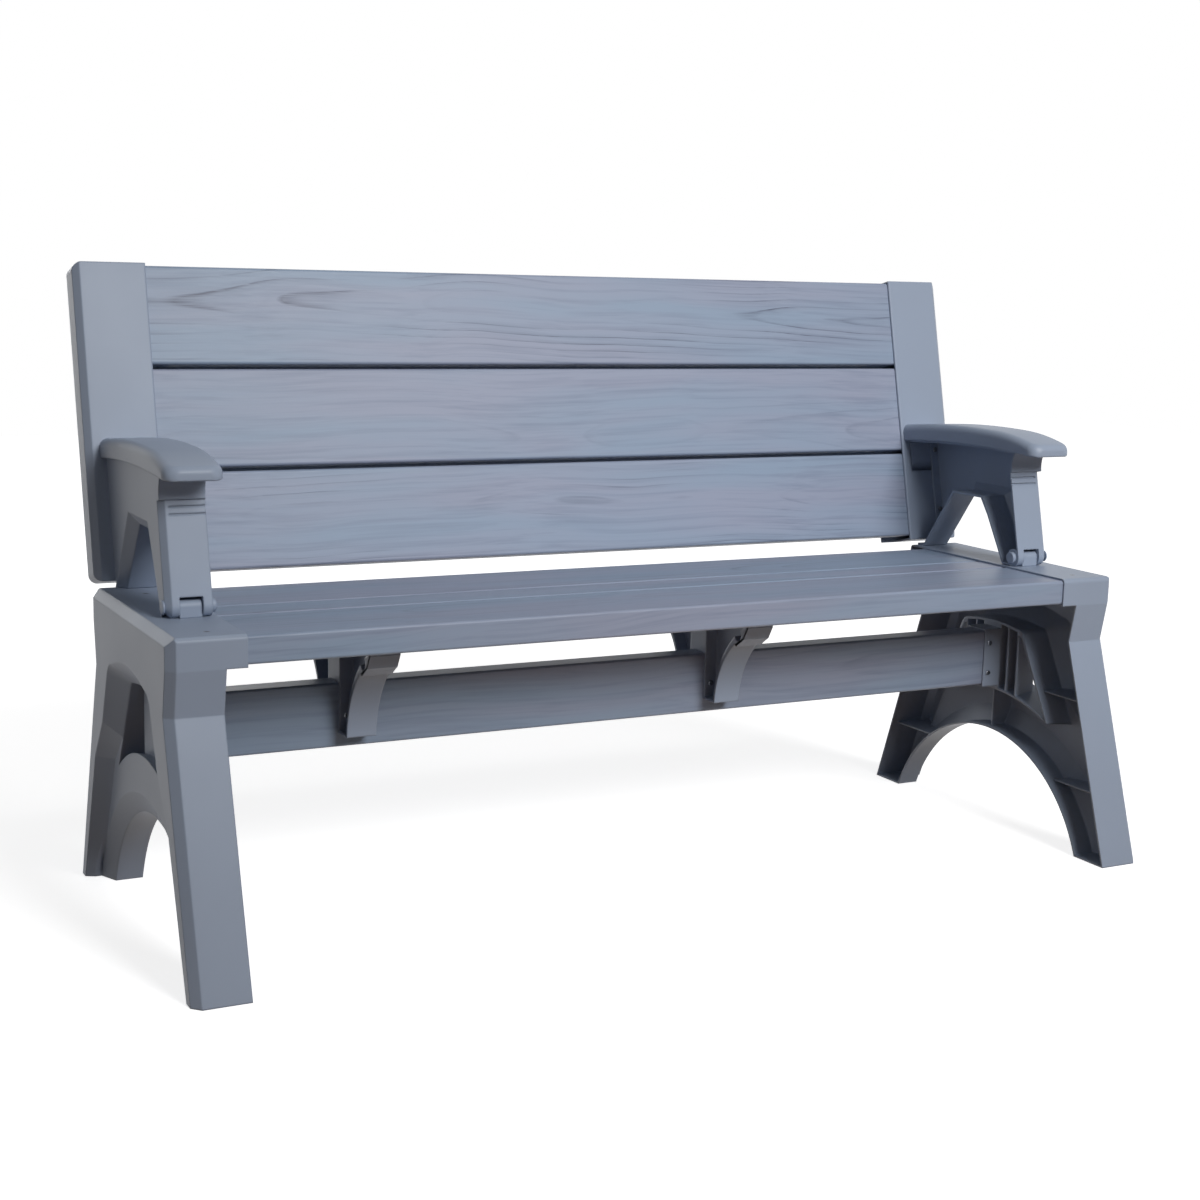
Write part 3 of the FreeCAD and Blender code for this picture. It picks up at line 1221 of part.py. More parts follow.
def screws():
    deck = S.seat_height - S.screw_gap
    screw_group("deck_screws", [(across, along, deck, UP)
                                for across in at_both_ends(S.deck_screw_inset)
                                for along in deck_screw_places], sunk=True)
    socket_face = socket_half + S.wall + S.screw_gap
    screw_group("stretcher_screws", [
        (across, socket_face * side, height, REAR if side > 0 else FRONT)
        for across in at_both_ends(S.socket_reach - S.socket_screw_inset)
        for height in socket_screw_heights for side in (-1, 1)])
    plate_face = notch_half + S.bracket_wall + S.screw_gap
    middle_height = S.stretcher_bottom + S.stretcher_height / 2
    top_face = bracket_top - S.bracket_wall - S.screw_gap
    steps = (-bracket_screw_offset, bracket_screw_offset)
    screw_group("bracket_screws", [
        place for at in bracket_middles for step in steps for side in (-1, 1)
        for place in ((left_end + at + step, plate_face * side, middle_height,
                       REAR if side > 0 else FRONT),
                      (left_end + at + step, bracket_screw_along * side, top_face, DOWN))])
    plate_top = S.seat_height + S.seat_gap + S.hinge_plate + S.screw_gap
    screw_group("hinge_base_screws", [(across, hinge_screw_along, plate_top, UP)
                                      for end in hinge_screw_ends
                                      for across in at_both_ends(end)])
    cap_places = []
    for number in range(3):
        height = back_bottom + S.wide_board / 2 + board_pitch * number
        along, up = leaning(height, -back_rear - S.screw_gap)
        for across in at_both_ends(cap_screw_end):
            cap_places.append((across, pin_along + along, pin_up + up, -90 - S.recline))
    screw_group("back_cap_screws", cap_places)
    bolt_places = []
    for number in (0, 1):
        along, up = leaning(arm_bolt_up(number), bolt_seat)
        for across in at_both_ends(arm_bolt_across):
            bolt_places.append((across, pin_along + along, pin_up + up, upright))
    screw_group("arm_bolts", bolt_places)
    screw_group("pad_screws", [
        (across, pin_along + along, pin_up + underside(along) - S.arm_wall - S.run_gap, DOWN)
        for along in pad_screw_places for across in at_both_ends(pad_screw_across)])


leg_frame()
seat_boards()
stretcher()
seat_brackets()
hinge_base()
hinge_pin()
hinge_cap()
back_boards()
back_cap()
arm_frame()
arm_pad()
screws()
doc.recompute()
for thing in doc.Objects:
    if "Invalid" in thing.State or "Error" in thing.State:
        raise ValueError(f"{thing.Name} failed: {thing.State}")
for name, thing in parts.items():
    if thing.Shape.isNull() or not thing.Shape.isValid():
        raise ValueError(f"{name} has no valid shape")
    box = thing.Shape.BoundBox
    print(f"{name}: {len(thing.Shape.Solids)} solids, {thing.Shape.Volume / 1000:.1f} cm3, "
          f"{box.XLength:.1f} x {box.YLength:.1f} x {box.ZLength:.1f}")
print("pin axis:", f"y {(pin_along - middle).value:.3f}", f"z {pin_up.value:.3f}")
os.makedirs("parts", exist_ok=True)
for name, thing in parts.items():
    thing.Shape.exportStep(f"parts/{name}.step")
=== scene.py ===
"""The looks of a folding table bench: grained resin boards, smooth moulded resin, screws, a stage."""

import json
import math

import bmesh
import bpy
from mathutils import Matrix, Vector

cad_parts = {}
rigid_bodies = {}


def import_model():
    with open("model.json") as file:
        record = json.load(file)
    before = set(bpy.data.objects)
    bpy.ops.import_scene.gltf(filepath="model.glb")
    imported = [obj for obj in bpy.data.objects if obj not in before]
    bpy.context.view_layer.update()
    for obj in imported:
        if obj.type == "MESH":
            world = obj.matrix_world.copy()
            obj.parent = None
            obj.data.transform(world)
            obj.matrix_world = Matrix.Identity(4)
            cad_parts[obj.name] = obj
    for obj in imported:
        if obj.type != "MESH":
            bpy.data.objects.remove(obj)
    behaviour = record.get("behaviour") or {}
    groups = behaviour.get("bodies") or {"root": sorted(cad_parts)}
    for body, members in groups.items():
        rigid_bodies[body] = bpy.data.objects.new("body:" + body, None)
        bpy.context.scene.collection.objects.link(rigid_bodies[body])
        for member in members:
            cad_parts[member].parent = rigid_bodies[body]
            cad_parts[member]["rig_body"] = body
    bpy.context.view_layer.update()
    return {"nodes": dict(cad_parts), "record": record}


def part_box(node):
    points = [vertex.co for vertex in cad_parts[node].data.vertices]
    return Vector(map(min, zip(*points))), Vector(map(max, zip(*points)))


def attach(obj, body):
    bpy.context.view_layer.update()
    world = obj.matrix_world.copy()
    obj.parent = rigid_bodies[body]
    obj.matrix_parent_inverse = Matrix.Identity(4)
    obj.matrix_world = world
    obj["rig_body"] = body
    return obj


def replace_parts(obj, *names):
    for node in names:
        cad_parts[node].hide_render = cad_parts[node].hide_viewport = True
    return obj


bl_info = {
    "name": "Folding Table Bench",
    "version": (1, 0, 0),
    "blender": (4, 5, 0),
    "location": "3D View > Sidebar > Bench",
    "description": "Finishes for a bench whose back folds forward into a table top",
    "category": "Object",
}

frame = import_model()

MM = 0.001
SAME_PLACE = 0.001 * MM
RECLINE = math.radians(13.47)
# Board: turn of its face, then the heart of its grain: millimetres beside the board's middle,
# millimetres below it, lean along the board in degrees, and how clearly the lines show
GRAIN = {
    "seat_board_front": (0, 20, 34, 1.4, 0.4),
    "seat_board_middle": (0, -8, 45, 0.9, 0.4),
    "seat_board_rear": (0, -18, 38, 1.6, 0.6),
    "back_board_bottom": (RECLINE - math.pi / 2, 8, 13, 1.2, 0.8),
    "back_board_middle": (RECLINE - math.pi / 2, -34, 40, 0.8, 0.3),
    "back_board_top": (RECLINE - math.pi / 2, 14, 15, 1.5, 1.0),
    "stretcher_board": (-math.pi / 2, 8, 60, 0.9, 0.35),
}
# Lower and upper board of each seam of the back. The rims behind them are a guess, made for the
# dark look of the seams: the solids have plain open slits there, and so may the real bench
SEAMS = (("back_board_bottom", "back_board_middle"), ("back_board_middle", "back_board_top"))
PADS = ("left_arm_pad", "right_arm_pad")
BRACKETS = ("left_seat_bracket", "right_seat_bracket")
BRACKET_ENDS = {"front": -1, "rear": 1}
HINGE_PINS = ("left_hinge_pin", "right_hinge_pin")
FLAT_SCREWS = "deck_screws"
SHARP_EDGE = math.radians(28)
# Sections along an arm pad, degrees from section to section of its nose, and steps of a corner
PAD_STEPS = 24
NOSE_STEP = 6
CORNER_STEPS = 6
# Rings of a domed head: how many millimetres further in each lies, and its share of the rise
DOME_RINGS = ((0.5, 0.6), (0.6, 0.3), (0.5, 0.1))
RECESS_RIM = 0.15 * MM
RECESS_WALL = 0.05 * MM
# What tells the top of a screw head from its other faces
HEAD_CORNERS = 12
HEAD_TOLERANCE = 0.04
# The camera's sensor in millimetres, and how far it sees in metres
SENSOR_WIDTH = 36
VIEW_END = 60


def linear(code):
    """An sRGB hex colour as linear red, green, blue and alpha."""
    channels = [int(code[place:place + 2], 16) / 255 for place in (1, 3, 5)]
    return [c / 12.92 if c <= 0.04045 else ((c + 0.055) / 1.055) ** 2.4 for c in channels] + [1.0]


def colour_property(name, description, code):
    """A colour that a user may change, from its hex code."""
    return bpy.props.FloatVectorProperty(
        name=name, description=description, subtype="COLOR", size=4, min=0, max=1,
        default=linear(code))


def length_property(name, description, millimetres):
    """A length that a user may change, from its millimetres."""
    return bpy.props.FloatProperty(
        name=name, description=description, subtype="DISTANCE", unit="LENGTH", min=0,
        precision=5, default=millimetres * MM)


def share_property(name, description, share):
    """A share from 0 to 1 that a user may change."""
    return bpy.props.FloatProperty(
        name=name, description=description, subtype="FACTOR", min=0, max=1, default=share)


def place_property(name, description, place):
    """A place in metres that a user may change."""
    return bpy.props.FloatVectorProperty(
        name=name, description=description, subtype="TRANSLATION", unit="LENGTH", default=place)


def power_property(name, description, watts):
    """The power of a lamp that a user may change."""
    return bpy.props.FloatProperty(
        name=name, description=description, unit="POWER", default=watts)


class BoardSettings(bpy.types.PropertyGroup):
    warm: colour_property("Warm face", "Lilac grey resin between the grain lines", "#8F96AA")
    cool: colour_property("Cool face", "Bluer resin that the lilac drifts into", "#8797AC")
    streak: colour_property("Streak", "Faint darker streaks along a board", "#6E788E")
    late_wood: colour_property("Late wood", "Thin dark lines of the grain", "#484F62")
    ring_spacing: length_property("Ring spacing", "From one grain line to the next", 9)
    wander: length_property("Wander", "How far the heart of the grain strays sideways", 13)
    fibre: length_property("Fibre", "Width of the fine fibres pressed into the skin", 1.6)
    emboss: length_property("Emboss", "Depth of the pressed grain", 0.25)
    roughness: share_property("Roughness", "Satin skin of the boards", 0.42)
    sheen: share_property("Sheen", "How much the skin mirrors", 0.3)


class SeamSettings(bpy.types.PropertyGroup):
    rim: length_property("Rim", "Thickness of the rim behind a seam of the back", 3)
    slit: length_property("Slit", "What stays open below that rim", 2)
    inset: length_property("Inset", "That rim in front of the boards' rear face", 3)


class MouldedSettings(bpy.types.PropertyGroup):
    face: colour_property("Face", "Smooth moulded resin", "#929EB1")
    shade: colour_property("Shade", "Slightly darker resin where the mould ran cooler", "#8C97A9")
    edge: length_property("Edge", "Radius of the moulded edges", 3.2)
    pebble: length_property("Pebble", "Size of the fine texture of the mould", 1.8)
    pebble_depth: length_property("Pebble depth", "Depth of that texture", 0.03)
    roughness: share_property("Roughness", "Satin skin of the mouldings", 0.42)
    sheen: share_property("Sheen", "How much the skin mirrors", 0.3)


class PadSettings(bpy.types.PropertyGroup):
    nose_cut: length_property("Nose cut", "How much shorter the nose is than the solid's", 40)
    under_rise: length_property("Under rise", "Crown of the pad's underside", 8.5)
    over_rise: length_property("Over rise", "Crown of the pad's top", 11.5)
    widen: length_property("Widen", "How much wider than the solid, on each side", 1.2)
    nose_radius: length_property("Nose radius", "Rounding of the nose seen from above", 18)
    nose_top: length_property("Nose top", "Rounding of the nose's upper edge", 8)
    nose_bow: length_property("Nose bow", "How far the top bows down to the nose", 10)
    nose_length: length_property("Nose length", "Over which length it bows down", 100)
    edge_radius: length_property("Edge radius", "Rounding of the upper edges", 12)
    lower_radius: length_property("Lower radius", "Rounding of the lower edges", 3)


class SoleSettings(bpy.types.PropertyGroup):
    heel: length_property("Heel", "Lower end of a sole from the bracket's middle", 105)
    heel_drop: length_property("Heel drop", "That end below the seat boards", 44.7)
    chin: length_property("Chin", "Bend of the sole from the bracket's middle", 126.3)
    chin_drop: length_property("Chin drop", "That bend below the seat boards", 31.2)
    tip: length_property("Tip", "Upper end of the sole from the bracket's middle", 136.8)
    tip_drop: length_property("Tip drop", "That end below the seat boards", 13)
    sole: length_property("Sole", "How far the skin reaches inwards and up", 2.4)


class ScrewSettings(bpy.types.PropertyGroup):
    # The zinc colour is the plating's grey, darkened further as painted shade for the shade the small
    # heads sit in
    zinc: colour_property("Zinc", "Plated steel", "#7C7F86")
    dome: length_property("Dome", "How far a pan head rises over its rim", 0.5)
    head_radius: length_property("Head radius", "Radius of the screw heads", 4)
    recess: length_property("Recess", "Reach of the cross recess from the middle", 2.1)
    recess_arm: bpy.props.FloatProperty(
        name="Recess arm", description="Spread of one arm of the cross", subtype="ANGLE",
        default=math.radians(26))
    recess_depth: length_property("Recess depth", "Depth of the cross recess", 1.0)
    roughness: share_property("Roughness", "Dull plating", 0.38)


class StageSettings(bpy.types.PropertyGroup):
    floor: colour_property("Floor", "Pale studio floor as the camera sees it", "#F0F0F0")
    floor_bounce: colour_property("Floor bounce", "Colour of the light that it gives", "#9A7B60")
    floor_glow: share_property("Floor glow", "Lift of the floor towards white near the bench", 0.75)
    floor_near: length_property("Floor near", "Distance at which it starts to turn white", 900)
    floor_fade: length_property("Floor fade", "Distance at which the floor is plain white", 3200)
    floor_size: length_property("Floor size", "Side of the square floor", 14000)
    floor_drop: length_property("Floor drop", "How far the floor lies below the feet", 0.5)
    lens: bpy.props.FloatProperty(
        name="Lens", description="Focal length on a 36 mm wide sensor", unit="CAMERA",
        default=57.371)
    camera_place: place_property(
        "Camera place", "Where the camera stands", (-1.33098, -2.42818, 0.88416))
    camera_turn: bpy.props.FloatVectorProperty(
        name="Camera turn", description="How the camera is turned", subtype="EULER",
        unit="ROTATION", default=[math.radians(angle) for angle in (80.0817, -1.5357, -27.6281)])
    lamp_size: length_property("Lamp size", "Width of the two round lamps", 2200)
    lamp_spread: bpy.props.FloatProperty(
        name="Lamp spread", description="How far the lamps reach to the sides", subtype="ANGLE",
        default=math.radians(65))
    key_power: power_property("Key power", "Large soft lamp in front and above", 28)
    key_place: place_property("Key place", "Where that lamp hangs", (0.8, -3.7, 3.0))
    key_target: place_property("Key target", "What it points at", (0.3, 0.3, 0.8))
    rear_power: power_property("Rear power", "Weak lamp behind, for the rear side", 5)
    rear_place: place_property("Rear place", "Where that lamp hangs", (-0.3, 3.8, 0.9))
    rear_target: place_property("Rear target", "What it points at", (0, 0.3, 0.6))
    sky: bpy.props.FloatProperty(
        name="Sky", description="Strength of the even light from all round", min=0, default=0.155)


def add_node(tree, kind, inputs=None, **settings):
    """Adds a node; inputs are values, or the outputs that feed its sockets."""
    node = tree.nodes.new(kind)
    for name, value in settings.items():
        setattr(node, name, value)
    for name, value in (inputs or {}).items():
        if isinstance(value, bpy.types.NodeSocket):
            tree.links.new(value, node.inputs[name])
        else:
            node.inputs[name].default_value = value
    return node


def new_material(name):
    """An empty material and its node tree."""
    material = bpy.data.materials.new(name)
    material.use_nodes = True
    material.node_tree.nodes.clear()
    return material, material.node_tree


def surface(tree, shader):
    """Ends a material's nodes with its shader."""
    add_node(tree, "ShaderNodeOutputMaterial", {"Surface": shader.outputs[0]})


def dress(node_name, material):
    """Gives a CAD node a finish in all its slots."""
    mesh = frame["nodes"][node_name].data
    mesh.materials.clear()
    mesh.materials.append(material)


def slot_of(node_name):
    """The record's material slot of a CAD node."""
    for row in frame["record"]["subparts"]:
        if row["node"] == node_name:
            return row["material_slot"]
    raise ValueError(f"{node_name} has no material slot in the record")


def body_of(node_name):
    """The CAD body that a node rides on."""
    return frame["nodes"][node_name]["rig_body"]


def new_piece(mesh, title, node_name, material):
    """Makes a finished piece of a mesh, with this material, on the body of a CAD node."""
    data = bpy.data.meshes.new(title)
    mesh.to_mesh(data)
    mesh.free()
    data.materials.append(material)
    piece = bpy.data.objects.new(title, data)
    bpy.context.scene.collection.objects.link(piece)
    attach(piece, body_of(node_name))
    return piece


def put_in_place(mesh, name, material):
    """Makes a finished piece that stands for a CAD node, smooth but for its sharp edges."""
    for face in mesh.faces:
        face.smooth = True
    mesh.normal_update()
    for edge in mesh.edges:
        edge.smooth = edge.calc_face_angle(0) < SHARP_EDGE
    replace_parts(new_piece(mesh, f"{name}_shaped", name, material), name)


def grained_resin(name, settings, turn, heart_place, lean, clearness, seed):
    """Blow-moulded polyethylene with a wood grain: satin, with drifts of shade and dark lines."""
    material, tree = new_material(name)
    # The heart of the log runs nearly along the board, lies below its face and wanders a little
    place = add_node(tree, "ShaderNodeTexCoord")
    flat = add_node(tree, "ShaderNodeMapping", {
        "Vector": place.outputs["Object"], "Rotation": (turn, 0, 0)})
    heart = add_node(tree, "ShaderNodeMapping", {
        "Vector": flat.outputs[0], "Location": (0, -heart_place[0], -heart_place[1]),
        "Rotation": (0, lean, 0)})
    stray = add_node(tree, "ShaderNodeMapping", {
        "Vector": heart.outputs[0], "Location": (seed * 3.1, seed, 0), "Scale": (1.7, 0.6, 0.6)})
    drift = add_node(tree, "ShaderNodeTexNoise", {
        "Vector": stray.outputs[0], "Scale": 1.3, "Detail": 1.5})
    centred = add_node(tree, "ShaderNodeVectorMath", {
        0: drift.outputs["Color"], 1: (0.5, 0.5, 0.5)}, operation="SUBTRACT")
    reach = settings.wander * 4
    sideways = add_node(tree, "ShaderNodeVectorMath", {
        0: centred.outputs[0], 1: (0, reach, reach)}, operation="MULTIPLY")
    grain = add_node(tree, "ShaderNodeVectorMath", {
        0: heart.outputs[0], 1: sideways.outputs[0]}, operation="ADD")

    def stretched(along, across, detail, shift=0.0):
        """A noise drawn out along the board; the numbers are its repeats per metre."""
        placed = add_node(tree, "ShaderNodeMapping", {
            "Vector": grain.outputs[0], "Location": (seed * 5.3 + shift, shift, seed),
            "Scale": (along, across, across)})
        return add_node(tree, "ShaderNodeTexNoise", {
            "Vector": placed.outputs[0], "Scale": 1, "Detail": detail, "Roughness": 0.6}).outputs[0]

    # Year rings: at a scale of 1 they lie pi / 10 metres apart, and only their late wood is dark
    rings = add_node(tree, "ShaderNodeTexWave", {
        "Vector": grain.outputs[0], "Scale": math.pi / 10 / settings.ring_spacing,
        "Distortion": 0.5, "Detail": 1, "Detail Scale": 0.4, "Detail Roughness": 0.4},
        wave_type="RINGS", rings_direction="X", wave_profile="SAW")
    late = add_node(tree, "ShaderNodeValToRGB", {"Fac": rings.outputs["Fac"]})
    ramp = late.color_ramp
    ramp.elements[0].position = 0.45
    ramp.elements[0].color = (0, 0, 0, 1)
    ramp.elements[1].position = 0.99
    ramp.elements[1].color = (0, 0, 0, 1)
    for position, darkness in ((0.8, 0.22), (0.93, 1.0)):
        ramp.elements.new(position).color = (darkness, darkness, darkness, 1)

    # Fibres, streaks 330 by 8 mm, and patches some 400 mm long in which the rings come and go
    threads = stretched(9, 1 / settings.fibre, 2)
    streaks = add_node(tree, "ShaderNodeMapRange", {
        "Value": stretched(3, 120, 3, 0.4), "From Min": 0.46, "From Max": 0.78,
        "To Max": 0.55})
    shown = add_node(tree, "ShaderNodeMapRange", {
        "Value": stretched(2.4, 11, 2, 0.7), "From Min": 0.5, "From Max": 0.66,
        "To Min": 0.07, "To Max": clearness})
    drifting = add_node(tree, "ShaderNodeMapRange", {
        "Value": stretched(1.6, 13, 2, 0.2), "From Min": 0.38, "From Max": 0.62})
    face = add_node(tree, "ShaderNodeMix", {
        0: drifting.outputs[0], 6: settings.warm, 7: settings.cool}, data_type="RGBA")
    streaked = add_node(tree, "ShaderNodeMix", {
        0: streaks.outputs[0], 6: face.outputs[2], 7: settings.streak}, data_type="RGBA")
    # The fibres break the dark lines up, and both are pressed into the skin
    line = add_node(tree, "ShaderNodeMath", {
        0: late.outputs["Color"], 1: shown.outputs[0]}, operation="MULTIPLY")
    broken = add_node(tree, "ShaderNodeMapRange", {
        "Value": threads, "From Min": 0.3, "From Max": 0.6, "To Min": 0.25})
    broken_line = add_node(tree, "ShaderNodeMath", {
        0: line.outputs[0], 1: broken.outputs[0]}, operation="MULTIPLY")
    grained = add_node(tree, "ShaderNodeMix", {
        0: broken_line.outputs[0], 6: streaked.outputs[2], 7: settings.late_wood},
        data_type="RGBA")
    height = add_node(tree, "ShaderNodeMath", {
        0: threads, 1: line.outputs[0]}, operation="SUBTRACT")
    pressed = add_node(tree, "ShaderNodeBump", {
        "Height": height.outputs[0], "Distance": settings.emboss, "Strength": 0.35})
    rough = add_node(tree, "ShaderNodeMapRange", {
        "Value": threads, "To Min": settings.roughness - 0.07,
        "To Max": settings.roughness + 0.07})
    surface(tree, add_node(tree, "ShaderNodeBsdfPrincipled", {
        "Base Color": grained.outputs[2], "Roughness": rough.outputs[0], "IOR": 1.51,
        "Specular IOR Level": settings.sheen, "Normal": pressed.outputs[0]}))
    return material


def smooth_resin(name, settings, edge):
    """Injection-moulded polypropylene: satin, faintly pebbled, its edges softened by the mould."""
    material, tree = new_material(name)
    place = add_node(tree, "ShaderNodeTexCoord")
    clouds = add_node(tree, "ShaderNodeTexNoise", {
        "Vector": place.outputs["Object"], "Scale": 7, "Detail": 3})
    shaded = add_node(tree, "ShaderNodeMix", {
        0: clouds.outputs["Fac"], 6: settings.face, 7: settings.shade}, data_type="RGBA")
    pebbles = add_node(tree, "ShaderNodeTexNoise", {
        "Vector": place.outputs["Object"], "Scale": 1 / settings.pebble, "Detail": 2})
    relief = {"Height": pebbles.outputs["Fac"], "Distance": settings.pebble_depth, "Strength": 0.6}
    if edge:
        relief["Normal"] = add_node(
            tree, "ShaderNodeBevel", {"Radius": edge}, samples=6).outputs[0]
    pebbled = add_node(tree, "ShaderNodeBump", relief)
    rough = add_node(tree, "ShaderNodeMapRange", {
        "Value": clouds.outputs["Fac"], "To Min": settings.roughness - 0.05,
        "To Max": settings.roughness + 0.05})
    surface(tree, add_node(tree, "ShaderNodeBsdfPrincipled", {
        "Base Color": shaded.outputs[2], "Roughness": rough.outputs[0], "IOR": 1.49,
        "Specular IOR Level": settings.sheen, "Normal": pebbled.outputs[0]}))
    return material


def plated_steel(name, settings):
    """Zinc-plated steel: grey, dull metal with a faint mottle of the plating bath; its grey is
    darkened as painted shade.
    """
    material, tree = new_material(name)
    place = add_node(tree, "ShaderNodeTexCoord")
    bath = add_node(tree, "ShaderNodeTexNoise", {
        "Vector": place.outputs["Object"], "Scale": 420, "Detail": 2})
    rough = add_node(tree, "ShaderNodeMapRange", {
        "Value": bath.outputs["Fac"], "To Min": settings.roughness - 0.1,
        "To Max": settings.roughness + 0.1})
    surface(tree, add_node(tree, "ShaderNodeBsdfPrincipled", {
        "Base Color": settings.zinc, "Metallic": 1.0, "Roughness": rough.outputs[0]}))
    return material


def across_board(node_name, turn):
    """The middle of a board in its own turned directions: across its width, through it."""
    low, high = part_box(node_name)
    middle = Matrix.Rotation(turn, 3, "X") @ ((low + high) / 2)
    return middle.y, middle.z


class BENCH_OT_boards(bpy.types.Operator):
    """Finish the seat, back and stretcher boards in grained resin"""
    bl_idname = "bench.boards"
    bl_label = "Grained boards"

    def execute(self, context):
        settings = context.scene.bench_boards
        for number, (name, grain) in enumerate(GRAIN.items(), start=1):
            turn, beside, below, lean, clearness = grain
            across, through = across_board(name, turn)
            heart = (across + beside * MM, through - below * MM)
            dress(name, grained_resin(f"grained resin {name}", settings, turn, heart,
                                      math.radians(lean), clearness, number))
        return {"FINISHED"}


def turned_box(node_name, turn):
    """Lowest and highest place of a node in directions turned about the length."""
    turned = Matrix.Rotation(turn, 3, "X")
    places = [turned @ vert.co for vert in frame["nodes"][node_name].data.vertices]
    low = Vector([min(place[axis] for place in places) for axis in range(3)])
    high = Vector([max(place[axis] for place in places) for axis in range(3)])
    return low, high


def seam_rim(lower, upper, settings):
    """A rim along the rear of the upper board's lower edge that narrows the seam below it."""
    low, high = turned_box(lower, RECLINE)
    above = turned_box(upper, RECLINE)[0]
    bottom = high.z + settings.slit
    top = above.z + settings.rim
    size = Vector((high.x - low.x, settings.rim, top - bottom))
    middle = Vector(((low.x + high.x) / 2, high.y - settings.inset - settings.rim / 2,
                     (top + bottom) / 2))
    mesh = bmesh.new()
    bmesh.ops.create_cube(mesh, size=1)
    bmesh.ops.scale(mesh, vec=size, verts=mesh.verts)
    bmesh.ops.translate(mesh, vec=middle, verts=mesh.verts)
    bmesh.ops.rotate(mesh, matrix=Matrix.Rotation(-RECLINE, 3, "X"), verts=mesh.verts)
    new_piece(mesh, f"{upper}_rim", upper, bpy.data.materials[f"grained resin {upper}"])


class BENCH_OT_seams(bpy.types.Operator):
    """Narrow the seams of the back with the rims behind the boards' lower edges"""
    bl_idname = "bench.seams"
    bl_label = "Seams of the back"

    def execute(self, context):
        for lower, upper in SEAMS:
            seam_rim(lower, upper, context.scene.bench_seams)
        return {"FINISHED"}


class BENCH_OT_mouldings(bpy.types.Operator):
    """Finish the end frames, brackets, caps, arms and hinge parts in smooth resin"""
    bl_idname = "bench.mouldings"
    bl_label = "Smooth mouldings"

    def execute(self, context):
        settings = context.scene.bench_mouldings
        resin = smooth_resin("smooth moulded resin", settings, settings.edge)
        round_resin = smooth_resin("rounded moulded resin", settings, 0)
        for name in sorted(frame["nodes"]):
            if slot_of(name) == "frame_resin":
                dress(name, round_resin if name in PADS else resin)
        # The ends of the pins look like the resin of the arms
        for name in HINGE_PINS:
            dress(name, round_resin)
        return {"FINISHED"}


def arch_height(along, left, right, level, rise):
    """Height of a low arch that stands at this level on left and right."""
    half = (right - left) / 2
    radius = (half * half + rise * rise) / (2 * rise)
    return level + rise - radius + math.sqrt(radius * radius - (along - left - half) ** 2)


def quarter(radius, beyond):
    """How far a rounded end of this radius has drawn back this far beyond its tip."""
    short = max(1 - beyond / radius, 0)
    return radius * (1 - math.sqrt(1 - short * short))


def ring_of(half_width, low, high, lower_radius, upper_radius):
    """A section with two small and two large corners, as places across and up."""
    upper_radius = min(upper_radius, high - low - lower_radius)
    corners = ((1, low + lower_radius, lower_radius, -90, 0),
               (1, high - upper_radius, upper_radius, 0, 90),
               (-1, high - upper_radius, upper_radius, 90, 180),
               (-1, low + lower_radius, lower_radius, 180, 270))
    points = []
    for side, level, radius, start, end in corners:
        for step in range(CORNER_STEPS + 1):
            angle = math.radians(start + (end - start) * step / CORNER_STEPS)
            points.append((side * (half_width - radius) + radius * math.cos(angle),
                           level + radius * math.sin(angle)))
    return points


def shaped_pad(name, settings, material):
    """An arm pad as a row of sections, drawn in and down to a round nose."""
    low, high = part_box(name)
    front = low.y + settings.nose_cut
    over_level = high.z - settings.over_rise
    back_low = high.y - (over_level - low.z) * math.tan(RECLINE)
    middle = (low.x + high.x) / 2
    half_width = (high.x - low.x) / 2 + settings.widen
    nose = [front + settings.nose_radius * (1 - math.cos(math.radians(angle)))
            for angle in range(0, 90, NOSE_STEP)]
    start = front + settings.nose_radius
    body = [start + (back_low - start) * step / PAD_STEPS for step in range(PAD_STEPS + 1)]
    mesh = bmesh.new()
    rings = []
    for along in nose + body + [high.y + settings.nose_length]:
        beyond = along - front
        arch_at = min(along, back_low)
        under = arch_height(arch_at, low.y, back_low, low.z, settings.under_rise)
        over = arch_height(arch_at, low.y, high.y, over_level, settings.over_rise)
        bow = settings.nose_bow * max(1 - beyond / settings.nose_length, 0) ** 2
        points = ring_of(half_width - quarter(settings.nose_radius, beyond),
                         under + quarter(settings.lower_radius, beyond),
                         over - bow - quarter(settings.nose_top, beyond),
                         settings.lower_radius, settings.edge_radius)
        section = [mesh.verts.new(
            (middle + across, min(along, back_low + (up - low.z) * math.tan(RECLINE)), up))
            for across, up in points]
        rings.append([mesh.edges.new(pair) for pair in zip(section, section[1:] + section[:1])])
    for near, far in zip(rings, rings[1:]):
        bmesh.ops.bridge_loops(mesh, edges=near + far)
    bmesh.ops.edgenet_fill(mesh, edges=rings[0])
    bmesh.ops.edgenet_fill(mesh, edges=rings[-1])
    bmesh.ops.remove_doubles(mesh, verts=mesh.verts, dist=SAME_PLACE)
    bmesh.ops.recalc_face_normals(mesh, faces=mesh.faces)
    put_in_place(mesh, name, material)


def bracket_sole(name, end, settings, material):
    """A skin under the tip of a bracket that closes the driver holes of its screws."""
    low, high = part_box(name)
    middle = (low.y + high.y) / 2
    side = BRACKET_ENDS[end]
    outer = ((settings.heel, settings.heel_drop), (settings.chin, settings.chin_drop),
             (settings.tip, settings.tip_drop))
    inner = [(reach - settings.sole, drop - settings.sole) for reach, drop in outer]
    mesh = bmesh.new()
    face = mesh.faces.new([mesh.verts.new((low.x, middle + side * reach, high.z - drop))
                           for reach, drop in (*outer, *reversed(inner))])
    pulled = bmesh.ops.extrude_face_region(mesh, geom=[face], use_keep_orig=True)
    far = [item for item in pulled["geom"] if isinstance(item, bmesh.types.BMVert)]
    bmesh.ops.translate(mesh, verts=far, vec=(high.x - low.x, 0, 0))
    bmesh.ops.recalc_face_normals(mesh, faces=mesh.faces)
    new_piece(mesh, f"{name}_sole_{end}", name, material)


